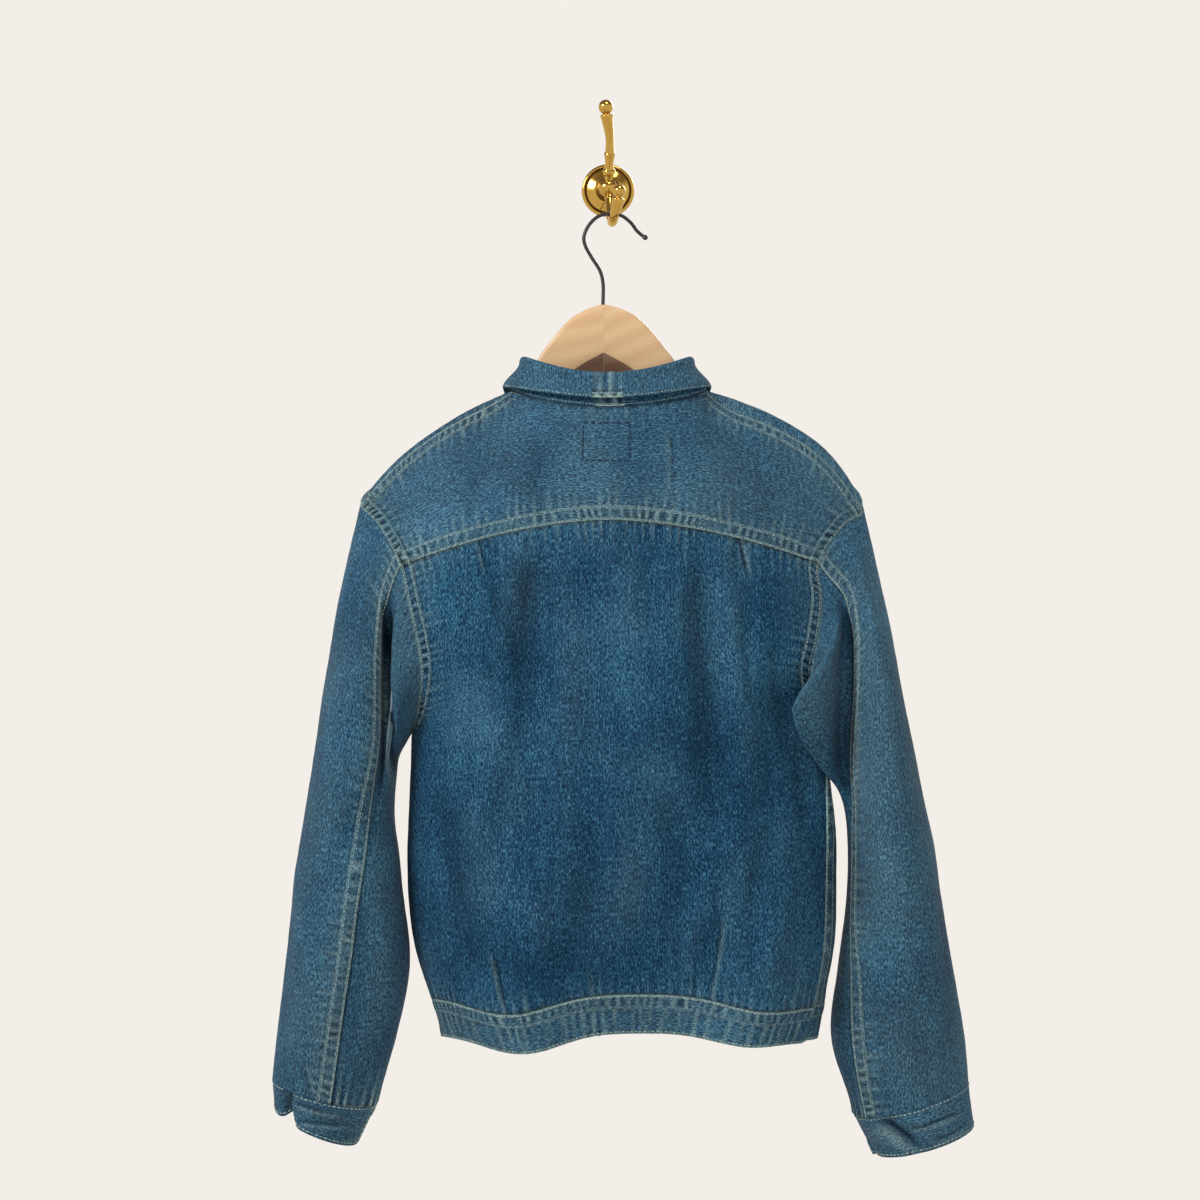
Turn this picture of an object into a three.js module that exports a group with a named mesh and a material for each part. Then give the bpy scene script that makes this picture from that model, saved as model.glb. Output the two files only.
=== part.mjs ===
// Denim jacket, seen from its back, on a wooden hanger that hangs from a brass wall hook.
// Millimetres. +X is the picture's right and the wearer's right, +Y runs to the wall, +Z is up.
// The origin is the centre of the wall hook's back face, on the wall.
import * as THREE from 'three';

const clothThickness = 1.8;
const bandThickness = 2.6;
const seamGap = 0.2;
const rimSlant = 1.5;
const hangerY = -48;
const ridgeRadius = 10;
const waistbandHeight = 34;
const buttonBandWidth = 38;
const buttonRadius = 8.5;
const wireRadius = 1.65;
const hangerThickness = 13;

const denim = new THREE.MeshStandardMaterial({ color: 0x33607f, roughness: 0.92, metalness: 0 });
const wood = new THREE.MeshStandardMaterial({ color: 0xe0bf98, roughness: 0.5, metalness: 0 });
const blackWire = new THREE.MeshStandardMaterial({ color: 0x1f1f20, roughness: 0.4, metalness: 0.6 });
const brass = new THREE.MeshStandardMaterial({ color: 0xb8872f, roughness: 0.25, metalness: 1 });

const jacket = new THREE.Group();

const vec = (x, y, z) => new THREE.Vector3(x, y, z);
const mix = (a, b, t) => a + (b - a) * t;
const clamp = (t) => Math.min(1, Math.max(0, t));
const bell = (offset, width) => Math.exp(-((offset / width) ** 2));
const radians = (angle) => (angle * Math.PI) / 180;

function ease(t) {
  const c = clamp(t);
  return c * c * (3 - 2 * c);
}

function steps(from, to, count) {
  return Array.from({ length: count + 1 }, (_, i) => mix(from, to, i / count));
}

// A table: rows of numbers under named columns. A column called at orders the rows.
function table(columns, rows) {
  return rows.map((row) => Object.fromEntries(columns.map((name, i) => [name, row[i]])));
}

// Reads a table at any place between its rows, on a smooth curve through them.
function sample(rows, at) {
  let i = 0;
  while (i < rows.length - 2 && at > rows[i + 1].at) i += 1;
  const a = rows[i];
  const b = rows[i + 1];
  const before = rows[Math.max(0, i - 1)];
  const after = rows[Math.min(rows.length - 1, i + 2)];
  const span = b.at - a.at;
  const t = clamp((at - a.at) / span);
  const read = (name) => {
    const slopeA = ((b[name] - before[name]) / (b.at - before.at)) * span;
    const slopeB = ((after[name] - a[name]) / (after.at - a.at)) * span;
    const rise = b[name] - a[name];
    return a[name] + t * slopeA + t * t * (3 * rise - 2 * slopeA - slopeB)
      + t * t * t * (slopeA + slopeB - 2 * rise);
  };
  return Object.fromEntries(Object.keys(a).map((name) => [name, read(name)]));
}

function solid(name, positions, faces, material) {
  const corner = (i) => vec(...positions.slice(3 * i, 3 * i + 3));
  const volume = faces.reduce((sum, [a, b, c]) => sum + corner(a).dot(corner(b).cross(corner(c))), 0);
  const outward = volume < 0 ? faces.map(([a, b, c]) => [a, c, b]) : faces;
  const geometry = new THREE.BufferGeometry();
  geometry.setAttribute('position', new THREE.Float32BufferAttribute(positions, 3));
  geometry.setIndex(outward.flat());
  geometry.computeVertexNormals();
  const mesh = new THREE.Mesh(geometry, material);
  mesh.name = name;
  jacket.add(mesh);
}

// A cloth panel: a wall whose outer face is surface(u, v) and whose inner face lies one
// thickness inside. Its rims slant, so that panels which meet at a seam don't touch.
function panel(name, surface, us, vs, { inside, thickness = clothThickness, gap = seamGap,
  slant = rimSlant, material = denim }) {
  const columns = us.length;
  const rows = vs.length;
  const outer = vs.map((v) => us.map((u) => surface(u, v)));
  const normals = outer.map((row, j) => row.map((point, i) => {
    const along = outer[j][Math.min(columns - 1, i + 1)].clone().sub(outer[j][Math.max(0, i - 1)]);
    const down = outer[Math.min(rows - 1, j + 1)][i].clone().sub(outer[Math.max(0, j - 1)][i]);
    return along.cross(down).normalize();
  }));
  const facing = outer.flat().reduce((sum, point, k) => {
    const normal = normals.flat()[k];
    return sum + normal.dot(point.clone().sub(inside(point)));
  }, 0);
  const inward = facing > 0 ? -thickness : thickness;
  const pull = (i, j, amount) => {
    const shift = vec(0, 0, 0);
    const towards = (m, n) => shift.addScaledVector(
      outer[n][m].clone().sub(outer[j][i]).normalize(), amount);
    if (i === 0) towards(1, j);
    if (i === columns - 1) towards(columns - 2, j);
    if (j === 0) towards(i, 1);
    if (j === rows - 1) towards(i, rows - 2);
    return shift;
  };
  const positions = [];
  const layers = [[0, gap], [inward, gap + slant]];
  for (const [offset, trim] of layers) {
    for (let j = 0; j < rows; j += 1) {
      for (let i = 0; i < columns; i += 1) {
        const point = outer[j][i].clone().addScaledVector(normals[j][i], offset).add(pull(i, j, trim));
        positions.push(point.x, point.y, point.z);
      }
    }
  }
  const outerAt = (i, j) => j * columns + i;
  const innerAt = (i, j) => columns * rows + j * columns + i;
  const faces = [];
  const quad = (a, b, c, d) => faces.push([a, b, c], [a, c, d]);
  for (let j = 0; j < rows - 1; j += 1) {
    for (let i = 0; i < columns - 1; i += 1) {
      quad(outerAt(i, j), outerAt(i + 1, j), outerAt(i + 1, j + 1), outerAt(i, j + 1));
      quad(innerAt(i, j), innerAt(i, j + 1), innerAt(i + 1, j + 1), innerAt(i + 1, j));
    }
  }
  for (let j = 0; j < rows - 1; j += 1) {
    const last = columns - 1;
    quad(outerAt(0, j), outerAt(0, j + 1), innerAt(0, j + 1), innerAt(0, j));
    quad(outerAt(last, j + 1), outerAt(last, j), innerAt(last, j), innerAt(last, j + 1));
  }
  for (let i = 0; i < columns - 1; i += 1) {
    const last = rows - 1;
    quad(outerAt(i + 1, 0), outerAt(i, 0), innerAt(i, 0), innerAt(i + 1, 0));
    quad(outerAt(i, last), outerAt(i + 1, last), innerAt(i + 1, last), innerAt(i, last));
  }
  solid(name, positions, faces, material);
}

// A solid through rings of equal count, closed at both ends.
function loft(name, rings, material) {
  const count = rings[0].length;
  const positions = rings.flat().flatMap((point) => [point.x, point.y, point.z]);
  const faces = [];
  for (let j = 0; j < rings.length - 1; j += 1) {
    for (let i = 0; i < count; i += 1) {
      const next = (i + 1) % count;
      const a = j * count;
      const b = a + count;
      faces.push([a + i, a + next, b + next], [a + i, b + next, b + i]);
    }
  }
  const end = (rings.length - 1) * count;
  for (let i = 1; i < count - 1; i += 1) {
    faces.push([0, i + 1, i], [end, end + i, end + i + 1]);
  }
  solid(name, positions, faces, material);
}

// A round bar along a smooth path, with a radius that may change along it.
function bar(name, path, radiusAt, lengthSteps, sides, material) {
  const curve = new THREE.CatmullRomCurve3(path, false, 'centripetal');
  const frames = curve.computeFrenetFrames(lengthSteps, false);
  const rings = steps(0, 1, lengthSteps).map((t, j) => {
    const centre = curve.getPointAt(t);
    return steps(0, 2 * Math.PI, sides).slice(0, sides).map((angle) => centre.clone()
      .addScaledVector(frames.normals[j], Math.cos(angle) * radiusAt(t))
      .addScaledVector(frames.binormals[j], Math.sin(angle) * radiusAt(t)));
  });
  loft(name, rings, material);
}

// The line on which the cloth hangs, from the neck to the shoulder tip. Its height falls
// by a share that is even and the rest that comes late, so the shoulder rounds off.
const shoulders = {
  left: { out: -1, neck: vec(-88, hangerY, -190), tip: vec(-224, hangerY, -289), even: 0.6, power: 3,
    seam: -12.5 },
  right: { out: 1, neck: vec(90, hangerY, -190), tip: vec(230, hangerY, -288), even: 0.48, power: 4,
    seam: -19 },
};
const frontOfRidge = 16;

function overShoulder(side, f, across) {
  const { neck, tip, even, power } = shoulders[side];
  const turn = Math.min(Math.abs(across) / ridgeRadius, Math.PI / 2);
  const beyond = Math.abs(across) - turn * ridgeRadius;
  const drop = ridgeRadius * (1 - Math.cos(turn)) + beyond;
  const away = ridgeRadius * Math.sin(turn) + 0.25 * beyond;
  return vec(
    mix(neck.x, tip.x, f),
    hangerY + Math.sign(across) * away,
    mix(neck.z, tip.z, even * f + (1 - even) * f ** power) - drop,
  );
}

// The armholes as closed loops: from the shoulder seam down the back, under the arm at
// point 7, up the front and over the shoulder tip at point 13.
const yokePoint = 2;
const underarmPoint = 7;
const frontSeamPoint = 9.5;
const loopPoints = 14;
const armholePlaces = {
  left: table(['x', 'y', 'z'], [
    [-207, -78, -312], [-185, -95, -350], [-177, -104, -383], [-169.5, -107, -415],
    [-166, -104, -443], [-170, -88, -478], [-177, -60, -500], [-177, -32, -480],
    [-176, -16, -440], [-179, -13, -390], [-194, -19, -340]]),
  right: table(['x', 'y', 'z'], [
    [211, -80, -314], [187.5, -95, -347.5], [189, -104, -381], [184.5, -107, -416],
    [179, -105, -443], [185, -90, -476], [195, -64, -500], [195, -34, -480],
    [191, -16, -440], [192, -13, -390], [204, -19, -340]]),
};
const armholes = Object.fromEntries(Object.keys(shoulders).map((side) => {
  const points = [
    overShoulder(side, 1, shoulders[side].seam),
    ...armholePlaces[side].map(({ x, y, z }) => vec(x, y, z)),
    overShoulder(side, 1, frontOfRidge),
    overShoulder(side, 1, 0),
  ];
  return [side, new THREE.CatmullRomCurve3(points, true, 'centripetal')];
}));

function armhole(side, point) {
  const t = (point / loopPoints) % 1;
  return armholes[side].getPoint(t < 0 ? t + 1 : t);
}

// The neck seam by angle: 0 at the centre back, 90 at the right shoulder, 180 at the front.
function neckSeam(angle) {
  const forward = Math.cos(radians(angle));
  const back = Math.max(0, forward);
  const front = Math.max(0, -forward);
  return vec(
    1 + 89 * Math.sin(radians(angle)),
    hangerY - 50 * back + 34 * front,
    -190 - 18 * back ** 1.6 - 78 * front ** 1.4,
  );
}
const neckCornerAngle = 78;

// A row across a panel from its centre to one side, as part of an oval seen from above.
// reach is the angle of the oval at which the side lies: past 90 the cloth turns back.
function ovalRow(centre, end, reach, f, zPower = 1) {
  const angle = radians(reach) * f;
  const across = Math.sin(angle) / Math.sin(radians(reach));
  const depth = (1 - Math.cos(angle)) / (1 - Math.cos(radians(reach)));
  const fall = reach > 90 ? depth : Math.abs(across) ** zPower;
  return vec(
    mix(centre.x, end.x, across),
    mix(centre.y, end.y, depth),
    mix(centre.z, end.z, fall),
  );
}

// The yoke seam, shared by the yoke and the back body, from the left armhole to the right.
const yokeSeamCentre = vec(0, -127, -310);
const yokeSeamReach = 58;

function yokeSeam(u) {
  const side = u < 0 ? 'left' : 'right';
  return ovalRow(yokeSeamCentre, armhole(side, yokePoint), yokeSeamReach, Math.abs(u), 1.75);
}

// The yoke's upper edge: both shoulder seams with the neck seam between them.
const neckShare = 0.4;
const cornerBlend = 5;

function yokeTop(u) {
  const side = u < 0 ? 'left' : 'right';
  const far = Math.abs(u);
  if (far <= neckShare) return neckSeam((Math.sign(u) * neckCornerAngle * far) / neckShare);
  const f = (far - neckShare) / (1 - neckShare);
  const start = neckSeam(shoulders[side].out * neckCornerAngle);
  const seam = overShoulder(side, f, shoulders[side].seam);
  return start.lerp(seam, ease(f * cornerBlend));
}

// How fast the yoke comes out to the back on the way down from its upper edge.
const yokeRoundness = 1.8;
const yokeEdgeFrom = 0.7;

function yoke(u, v) {
  const top = yokeTop(u);
  const bottom = yokeSeam(u);
  const side = u < 0 ? 'left' : 'right';
  const edge = armhole(side, mix(0, yokePoint, v));
  const straight = top.clone().lerp(bottom, v);
  const bow = armhole(side, 0).lerp(armhole(side, yokePoint), v).sub(edge).negate();
  const out = 1 - (1 - v) ** yokeRoundness;
  straight.y = mix(top.y, bottom.y, out);
  const edgeShare = clamp((Math.abs(u) - yokeEdgeFrom) / (1 - yokeEdgeFrom)) ** 2;
  const bowY = edge.y - mix(armhole(side, 0).y, armhole(side, yokePoint).y, out);
  return straight.add(vec(bow.x, bowY, bow.z).multiplyScalar(edgeShare));
}

// The body by level: 0 at the yoke seam, underarmLevel under the arm, 1 at the waistband.
const underarmLevel = 0.38;
const sideSeams = {
  left: table(['at', 'x', 'y', 'z'], [
    [0.38, -177, -60, -500], [0.54, -179, -54, -562], [0.7, -180, -51, -625], [0.86, -174, -51, -690],
    [1, -158, -54, -742]]),
  right: table(['at', 'x', 'y', 'z'], [
    [0.38, 195, -64, -500], [0.54, 195, -88, -562], [0.7, 193, -100, -625], [0.86, 190, -105, -688],
    [1, 181, -106, -739]]),
};
const backRows = table(['at', 'x', 'y', 'z', 'reachLeft', 'reachRight'], [
  [0, 0, -127, -310, 58, 58], [0.12, 1, -131, -362, 56, 56], [0.23, 2, -135, -412, 56, 57],
  [0.3, 4, -137, -447, 68, 69], [0.38, 6, -139, -484, 90, 90], [0.46, 8, -140, -518, 93, 80],
  [0.54, 10, -141, -550, 95, 71], [0.7, 15, -141, -613, 97, 68], [0.85, 19, -141, -668, 97, 68],
  [1, 22, -140, -724, 97, 68]]);

function bodySide(side, level) {
  if (level <= underarmLevel) {
    return armhole(side, mix(yokePoint, underarmPoint, level / underarmLevel));
  }
  const row = sample(sideSeams[side], level);
  return vec(row.x, row.y, row.z);
}

// The back lies in waves at the waistband: out and down at its left and right.
const waistLobes = [
  { x: -93, width: 52, out: 34, down: 16 },
  { x: 140, width: 46, out: 30, down: 9 },
];

function waistWave(x, level) {
  const shares = waistLobes.map(({ x: middle, width }) => bell(x - middle, width));
  const build = ease((level - 0.45) / 0.55);
  return {
    out: build * shares.reduce((sum, share, i) => sum + share * waistLobes[i].out, 0),
    down: build ** 2 * shares.reduce((sum, share, i) => sum + share * waistLobes[i].down, 0),
  };
}

// Pleats below the yoke and above the waistband, and soft folds between: troughs from one
// level to another, with the lean that they take on the way down.
const bodyDrop = 420;
const pleats = [
  { x: -106, lean: 0.28, from: 0, to: 0.3, depth: 6, width: 9 },
  { x: 113, lean: 0.07, from: 0, to: 0.36, depth: 6, width: 9 },
  { x: -62, lean: 0, from: 0.05, to: 0.72, depth: 8, width: 17 },
  { x: 80, lean: 0.05, from: 0.05, to: 0.68, depth: 8, width: 17 },
  { x: -104, lean: 0.22, from: 0.78, to: 1, depth: 6, width: 10 },
  { x: 96, lean: -0.14, from: 0.76, to: 1, depth: 6, width: 10 },
  { x: 168, lean: 0, from: 0.2, to: 0.66, depth: 22, width: 34 },
];

function pleatDepth(x, level) {
  return pleats.reduce((sum, { x: start, lean, from, to, depth, width }) => {
    const centre = start + lean * bodyDrop * (level - from);
    const opens = from === 0 ? ease(level / 0.04) : ease((level - from) / 0.15);
    const closes = to === 1 ? ease((1 - level) / 0.03) : ease((to - level) / 0.15);
    return sum + opens * closes * depth * bell(x - centre, width);
  }, 0);
}

function backBody(u, level) {
  const side = u < 0 ? 'left' : 'right';
  const row = sample(backRows, level);
  const centre = level === 0 ? yokeSeamCentre : vec(row.x, row.y, row.z);
  const reach = u < 0 ? row.reachLeft : row.reachRight;
  const zPower = mix(1.75, 2, ease(level * 3));
  const point = ovalRow(centre, bodySide(side, level), reach, Math.abs(u), zPower);
  const facing = Math.cos(radians(reach) * u) ** 2;
  const wave = waistWave(point.x, level);
  point.y += facing * pleatDepth(point.x, level) - Math.sqrt(facing) * wave.out;
  point.z -= Math.sqrt(facing) * wave.down;
  return point;
}

// The fronts run from the shoulder seam over the ridge and down to the waistband. The side
// end follows the armhole and the side seam; the other end the neck seam and the centre.
const ridgeLevel = 0.16;
const ridgeNeckAngle = 104;
const frontCentreTop = vec(1, -14, -268);
const frontCentreBottom = vec(18, -13, -742);
const frontRows = {
  left: table(['at', 'hole', 'neck', 'down', 'reach', 'power'], [
    [0.16, 12, 104, 0, 30, 1.35], [0.24, 11, 132, 0, 35, 1.2], [0.32, 10, 160, 0, 40, 1],
    [0.4, 9, 180, 0.1, 48, 1], [0.48, 7.8, 180, 0.3, 66, 1], [0.54, 7, 180, 0.42, 88, 1],
    [0.7, 7, 180, 0.62, 84, 1], [1, 7, 180, 1, 84, 1]]),
  right: table(['at', 'hole', 'neck', 'down', 'reach', 'power'], [
    [0.16, 12, 104, 0, 30, 1.35], [0.24, 11, 132, 0, 35, 1.2], [0.32, 10, 160, 0, 40, 1],
    [0.4, 9, 180, 0.1, 48, 1], [0.48, 7.8, 180, 0.3, 66, 1], [0.54, 7, 180, 0.42, 88, 1],
    [0.7, 7, 180, 0.62, 108, 1], [1, 7, 180, 1, 112, 1]]),
};
const frontUnderarm = 0.54;

function front(side, u, level) {
  const { out, seam } = shoulders[side];
  if (level <= ridgeLevel) {
    const across = mix(seam, frontOfRidge, level / ridgeLevel);
    const neckAngle = mix(neckCornerAngle, ridgeNeckAngle, level / ridgeLevel);
    const start = neckSeam(out * neckAngle);
    return start.lerp(overShoulder(side, u, across), ease(u * cornerBlend));
  }
  const row = sample(frontRows[side], level);
  const down = clamp(row.down);
  const inner = neckSeam(out * Math.min(180, row.neck)).add(
    frontCentreBottom.clone().sub(frontCentreTop).multiplyScalar(down));
  const end = level < frontUnderarm
    ? armhole(side, row.hole)
    : bodySide(side, mix(underarmLevel, 1, (level - frontUnderarm) / (1 - frontUnderarm)));
  return ovalRow(inner, end, row.reach, u, row.power);
}

// The waistband goes on from the lower edge of the body and leans in a little.
function waistSeam(turn) {
  if (Math.abs(turn) <= 1) return backBody(turn, 1);
  const side = turn < 0 ? 'left' : 'right';
  return front(side, 2 - Math.abs(turn), 1);
}

const waistMiddle = { x: 20, reach: 90, leanBack: 10, leanFront: 6 };

function waistband(turn, v) {
  const seam = waistSeam(turn);
  const offset = waistMiddle.x - seam.x;
  const inward = Math.sign(offset) * ease(Math.abs(offset) / waistMiddle.reach);
  const lean = Math.abs(turn) <= 1 ? waistMiddle.leanBack : waistMiddle.leanFront;
  const height = waistbandHeight * (1 - 0.1 * bell(seam.x - 148, 60));
  return seam.clone().add(vec(inward * lean * v, 0, -height * v));
}

// The collar stand rises from the neck seam; the leaf folds over it and falls outside.
const collarOpening = 174;

function collarFold(angle) {
  const forward = Math.cos(radians(angle));
  const back = Math.max(0, forward);
  const front = Math.max(0, -forward);
  return vec(
    -1 + 75 * Math.sin(radians(angle)),
    hangerY - 44 * back + 30 * front,
    -163 - 18 * back ** 2 - 78 * front ** 1.4,
  );
}

function outwards(angle) {
  return vec(Math.sin(radians(angle)), -Math.cos(radians(angle)), 0);
}

function collarStand(angle, v) {
  return neckSeam(angle).add(vec(0, 0, 0.2)).lerp(collarFold(angle), v);
}

function collarLeaf(angle, v) {
  const front = ease((Math.abs(angle) - 95) / 75);
  const side = bell(Math.abs(angle) - 85, 50);
  const profile = sample(table(['at', 'out', 'up'], [
    [0, -1.5, 2.6], [0.12, 0.8, 3.8], [0.25, 3.6, 2.4], [0.4, 4.8, -1.5], [1, 0, 0]]), Math.min(v, 0.4));
  const hem = ease((v - 0.4) / 0.6);
  const reach = mix(profile.out, 11 + 9 * side, hem);
  const fall = mix(profile.up, -(21 + 5 * side + 26 * front), clamp((v - 0.4) / 0.6));
  return collarFold(angle).addScaledVector(outwards(angle), reach).add(vec(0, 0, fall));
}

// The sleeves. Each ring is an oval, by the place of its outer and inner side in the
// front view, its middle depth and its half depth. seam is the angle of the back seam on
// it: 0 on the outer side, -90 at the back. at runs from the armhole to the cuff.
const sleeveColumns = ['at', 'outX', 'outZ', 'inX', 'inZ', 'y', 'half', 'seam'];
const sleeveRings = {
  left: table(sleeveColumns, [
    [0.36, -262, -490, -188, -528, -67, 60, -124], [0.48, -270, -545, -193, -566, -67, 60, -125],
    [0.62, -283, -633, -188, -645, -67, 58, -110], [0.76, -292, -700, -180, -711, -66, 56, -99],
    [0.88, -298, -755, -189, -768, -64, 53, -98], [1, -303, -811, -209, -835, -62, 50, -103]]),
  right: table(sleeveColumns, [
    [0.36, 272, -490, 216, -528, -67, 60, -158], [0.48, 283, -545, 219, -566, -67, 61, -166],
    [0.62, 300, -633, 216, -645, -67, 60, -164], [0.76, 311, -700, 208, -711, -66, 58, -148],
    [0.88, 321, -765, 202, -777, -64, 55, -138], [1, 325, -814, 222, -845, -62, 52, -148]]),
};
const capEnd = 0.36;
const frontSeamAngle = -236;

// The angle of a point of the armhole loop on a ring, by its share of the half that it is in.
const underShares = table(['at', 'share'], [
  [2, 0], [3, 0.16], [4, 0.29], [5, 0.39], [6, 0.49], [7, 0.59], [8, 0.74], [9.5, 1]]);
const upperShares = table(['at', 'share'], [
  [9.5, 0], [11, 0.22], [12, 0.39], [13, 0.49], [14, 0.67], [15, 0.83], [16, 1]]);

function ringAngle(point, seam) {
  const turned = point < yokePoint ? point + loopPoints : point;
  if (turned <= frontSeamPoint) return mix(seam, frontSeamAngle, sample(underShares, turned).share);
  return mix(frontSeamAngle, seam - 360, sample(upperShares, turned).share);
}

// The deep fold down the back of each sleeve, which the shelf sets outwards at its top, and
// the under sleeve's bulge beside it.
const sleeveFolds = {
  left: { depth: 24, width: 0.34, middle: 2.35, fadeFrom: 0.3, fadeTo: 0.56, shelf: 0,
    bulge: { point: 4.2, back: 1.3, under: 1.3, at: 0.2, before: 0.1, after: 0.1, x: -2, y: -10, z: -12 } },
  right: { depth: 24, width: 0.34, middle: 2.3, fadeFrom: 0.3, fadeTo: 0.5, shelf: 17,
    bulge: { point: 3.7, back: 1.4, under: 1.0, at: 0.2, before: 0.1, after: 0.2, x: -50, y: -42,
      z: -8 } },
};

function sleeveRing(side, point, at) {
  const ring = sample(sleeveRings[side], at);
  const angle = radians(ringAngle(point, ring.seam));
  return vec(
    (ring.outX + ring.inX) / 2 + ((ring.outX - ring.inX) / 2) * Math.cos(angle),
    ring.y + ring.half * Math.sin(angle),
    (ring.outZ + ring.inZ) / 2 + ((ring.outZ - ring.inZ) / 2) * Math.cos(angle),
  );
}

function sleeveBase(side, point, at) {
  if (at >= capEnd) return sleeveRing(side, point, at);
  const { out } = shoulders[side];
  const start = armhole(side, point);
  const end = sleeveRing(side, point, capEnd);
  const length = start.distanceTo(end);
  const depth = clamp((start.y - hangerY) / -60 + 0.5) - 0.5;
  const topness = bell((point > loopPoints / 2 ? point - loopPoints : point) + 0.5, 3);
  const leave = vec(out * (0.6 - 0.42 * topness), -0.5 * depth, -0.8).normalize().multiplyScalar(length);
  const step = 0.02;
  const onward = sleeveRing(side, point, capEnd + step).sub(end).normalize().multiplyScalar(length);
  const t = at / capEnd;
  return start.multiplyScalar(2 * t ** 3 - 3 * t ** 2 + 1)
    .addScaledVector(leave, t ** 3 - 2 * t ** 2 + t)
    .addScaledVector(end, -2 * t ** 3 + 3 * t ** 2)
    .addScaledVector(onward, t ** 3 - t ** 2);
}

function sleeve(side, point, at) {
  const { depth, width, middle, fadeFrom, fadeTo, shelf, bulge } = sleeveFolds[side];
  const base = sleeveBase(side, point, at);
  const turned = point > loopPoints ? point - loopPoints : point;
  const fade = ease((at - 0.03) / 0.1) * (1 - ease((at - fadeFrom) / (fadeTo - fadeFrom)));
  base.y += depth * fade * bell(turned - middle, width);
  const sideways = shelf * bell(turned - yokePoint, 1.1) * bell(at - 0.16, 0.16) * ease(at / 0.07);
  base.x += shoulders[side].out * sideways;
  const length = at < bulge.at ? bulge.before : bulge.after;
  const spread = turned < bulge.point ? bulge.back : bulge.under;
  const swell = bell(turned - bulge.point, spread) * bell(at - bulge.at, length) * ease(at / 0.1);
  return base.addScaledVector(vec(bulge.x, bulge.y, bulge.z), swell);
}

// The cuffs, undone: open rings from the sleeve's end, wavy at their lower edge.
const cuffs = {
  left: { outX: -301, outZ: -842, inX: -226, inZ: -875, y: -62, half: 46 },
  right: { outX: 330, outZ: -853, inX: 240, inZ: -880, y: -62, half: 49 },
};

function cuff(side, point, v) {
  const end = cuffs[side];
  const turned = point > 16 ? point - loopPoints : point;
  const seam = sleeve(side, turned, 1);
  const angle = radians(ringAngle(turned, sample(sleeveRings[side], 1).seam));
  const wave = side === 'left' ? 9 * bell(turned - 0.4, 0.5) : 7 * bell(turned - 3.3, 0.5);
  const edge = vec(
    (end.outX + end.inX) / 2 + ((end.outX - end.inX) / 2) * Math.cos(angle),
    end.y + end.half * Math.sin(angle) + wave,
    (end.outZ + end.inZ) / 2 + ((end.outZ - end.inZ) / 2) * Math.cos(angle),
  );
  return seam.lerp(edge, v).add(vec(0, wave * v * (1 - v), 0));
}

// The button band lies over both fronts where they meet.
const bandLift = 2.2;

function frontBand(u, v) {
  const centre = frontCentreTop.clone().lerp(frontCentreBottom, mix(0.012, 0.994, v));
  return centre.add(vec(buttonBandWidth * (u - 0.5), bandLift, 0));
}

function button(name, centre) {
  const profile = [[0, 0], [buttonRadius, 0], [buttonRadius, 1.4], [6.8, 2.4], [4.5, 1.8], [0, 2.1]];
  const geometry = new THREE.LatheGeometry(profile.map((point) => new THREE.Vector2(...point)), 16);
  const mesh = new THREE.Mesh(geometry, brass);
  mesh.name = name;
  mesh.position.copy(centre);
  jacket.add(mesh);
}

// The hanger: two beech arms mitred at the middle, under the shoulders.
const hangerMiddle = -4.2;
const hangerTops = {
  left: table(['at', 'top', 'bottom'], [
    [0, -112.5, -156], [20, -119.5, -171], [34, -134, -183], [46, -147.5, -194], [56, -159.3, -203],
    [84, -201, -232], [194, -262, -282]]),
  right: table(['at', 'top', 'bottom'], [
    [0, -112.5, -156], [19, -116, -170], [40, -137.5, -188], [63, -161, -207], [94, -202, -234],
    [206, -262, -282]]),
};
const hangerReach = { left: 194, right: 206 };
const hangerEndRounding = 4;
const hangerClearance = 0.6;

function hangerArm(side) {
  const { out, neck, tip } = shoulders[side];
  const reach = hangerReach[side];
  const stations = [0.15, 10, 20, 34, 46, 56, 70, 86, 104, 122, 140, 158, 176, reach - 6, reach];
  const rings = stations.map((far) => {
    const row = sample(hangerTops[side], far);
    const x = hangerMiddle + out * far;
    const f = (x - neck.x) / (tip.x - neck.x);
    const under = f > 0 ? overShoulder(side, f, 0).z - clothThickness - hangerClearance : row.top;
    const rounding = far === reach ? hangerEndRounding : 0;
    const top = Math.min(row.top, under) - rounding;
    const bottom = row.bottom + rounding;
    const sides = 12;
    return steps(0, 2 * Math.PI, sides).slice(0, sides).map((angle) => vec(
      x,
      hangerY + (hangerThickness / 2) * Math.sign(Math.cos(angle)) * Math.abs(Math.cos(angle)) ** 0.7,
      (top + bottom) / 2 + ((top - bottom) / 2) * Math.sign(Math.sin(angle))
        * Math.abs(Math.sin(angle)) ** 0.8,
    ));
  });
  loft(`hanger_arm_${side}`, rings, wood);
}

// The hanger's wire hook, over the lower prong of the wall hook, with a ball at its end.
const wirePath = [[-4.7, -112.2], [-4.7, -92], [-7.4, -81], [-14.7, -69.3], [-21, -57.5], [-22, -50],
  [-17.5, -39.5], [-9.2, -31.6], [-1.9, -29.3], [5.3, -29.2], [12.6, -31], [20.8, -37.4], [26.3, -44.7],
  [33, -50.2], [36, -51.5]];

function hangerHook() {
  const endBall = (t) => (t > 0.985 ? wireRadius + 0.9 * Math.sin(Math.PI * clamp((t - 0.985) / 0.015)) : 0);
  bar('hanger_hook', wirePath.map(([x, z]) => vec(x, hangerY, z)),
    (t) => Math.max(wireRadius, endBall(t)) * (t > 0.999 ? 0.5 : 1), 40, 8, blackWire);
}

// The wall hook: a rose with a round boss, a long upper prong and a short lower one.
const roseRadius = 24.5;
const bossRadius = 8.6;
const bossY = -14;

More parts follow.
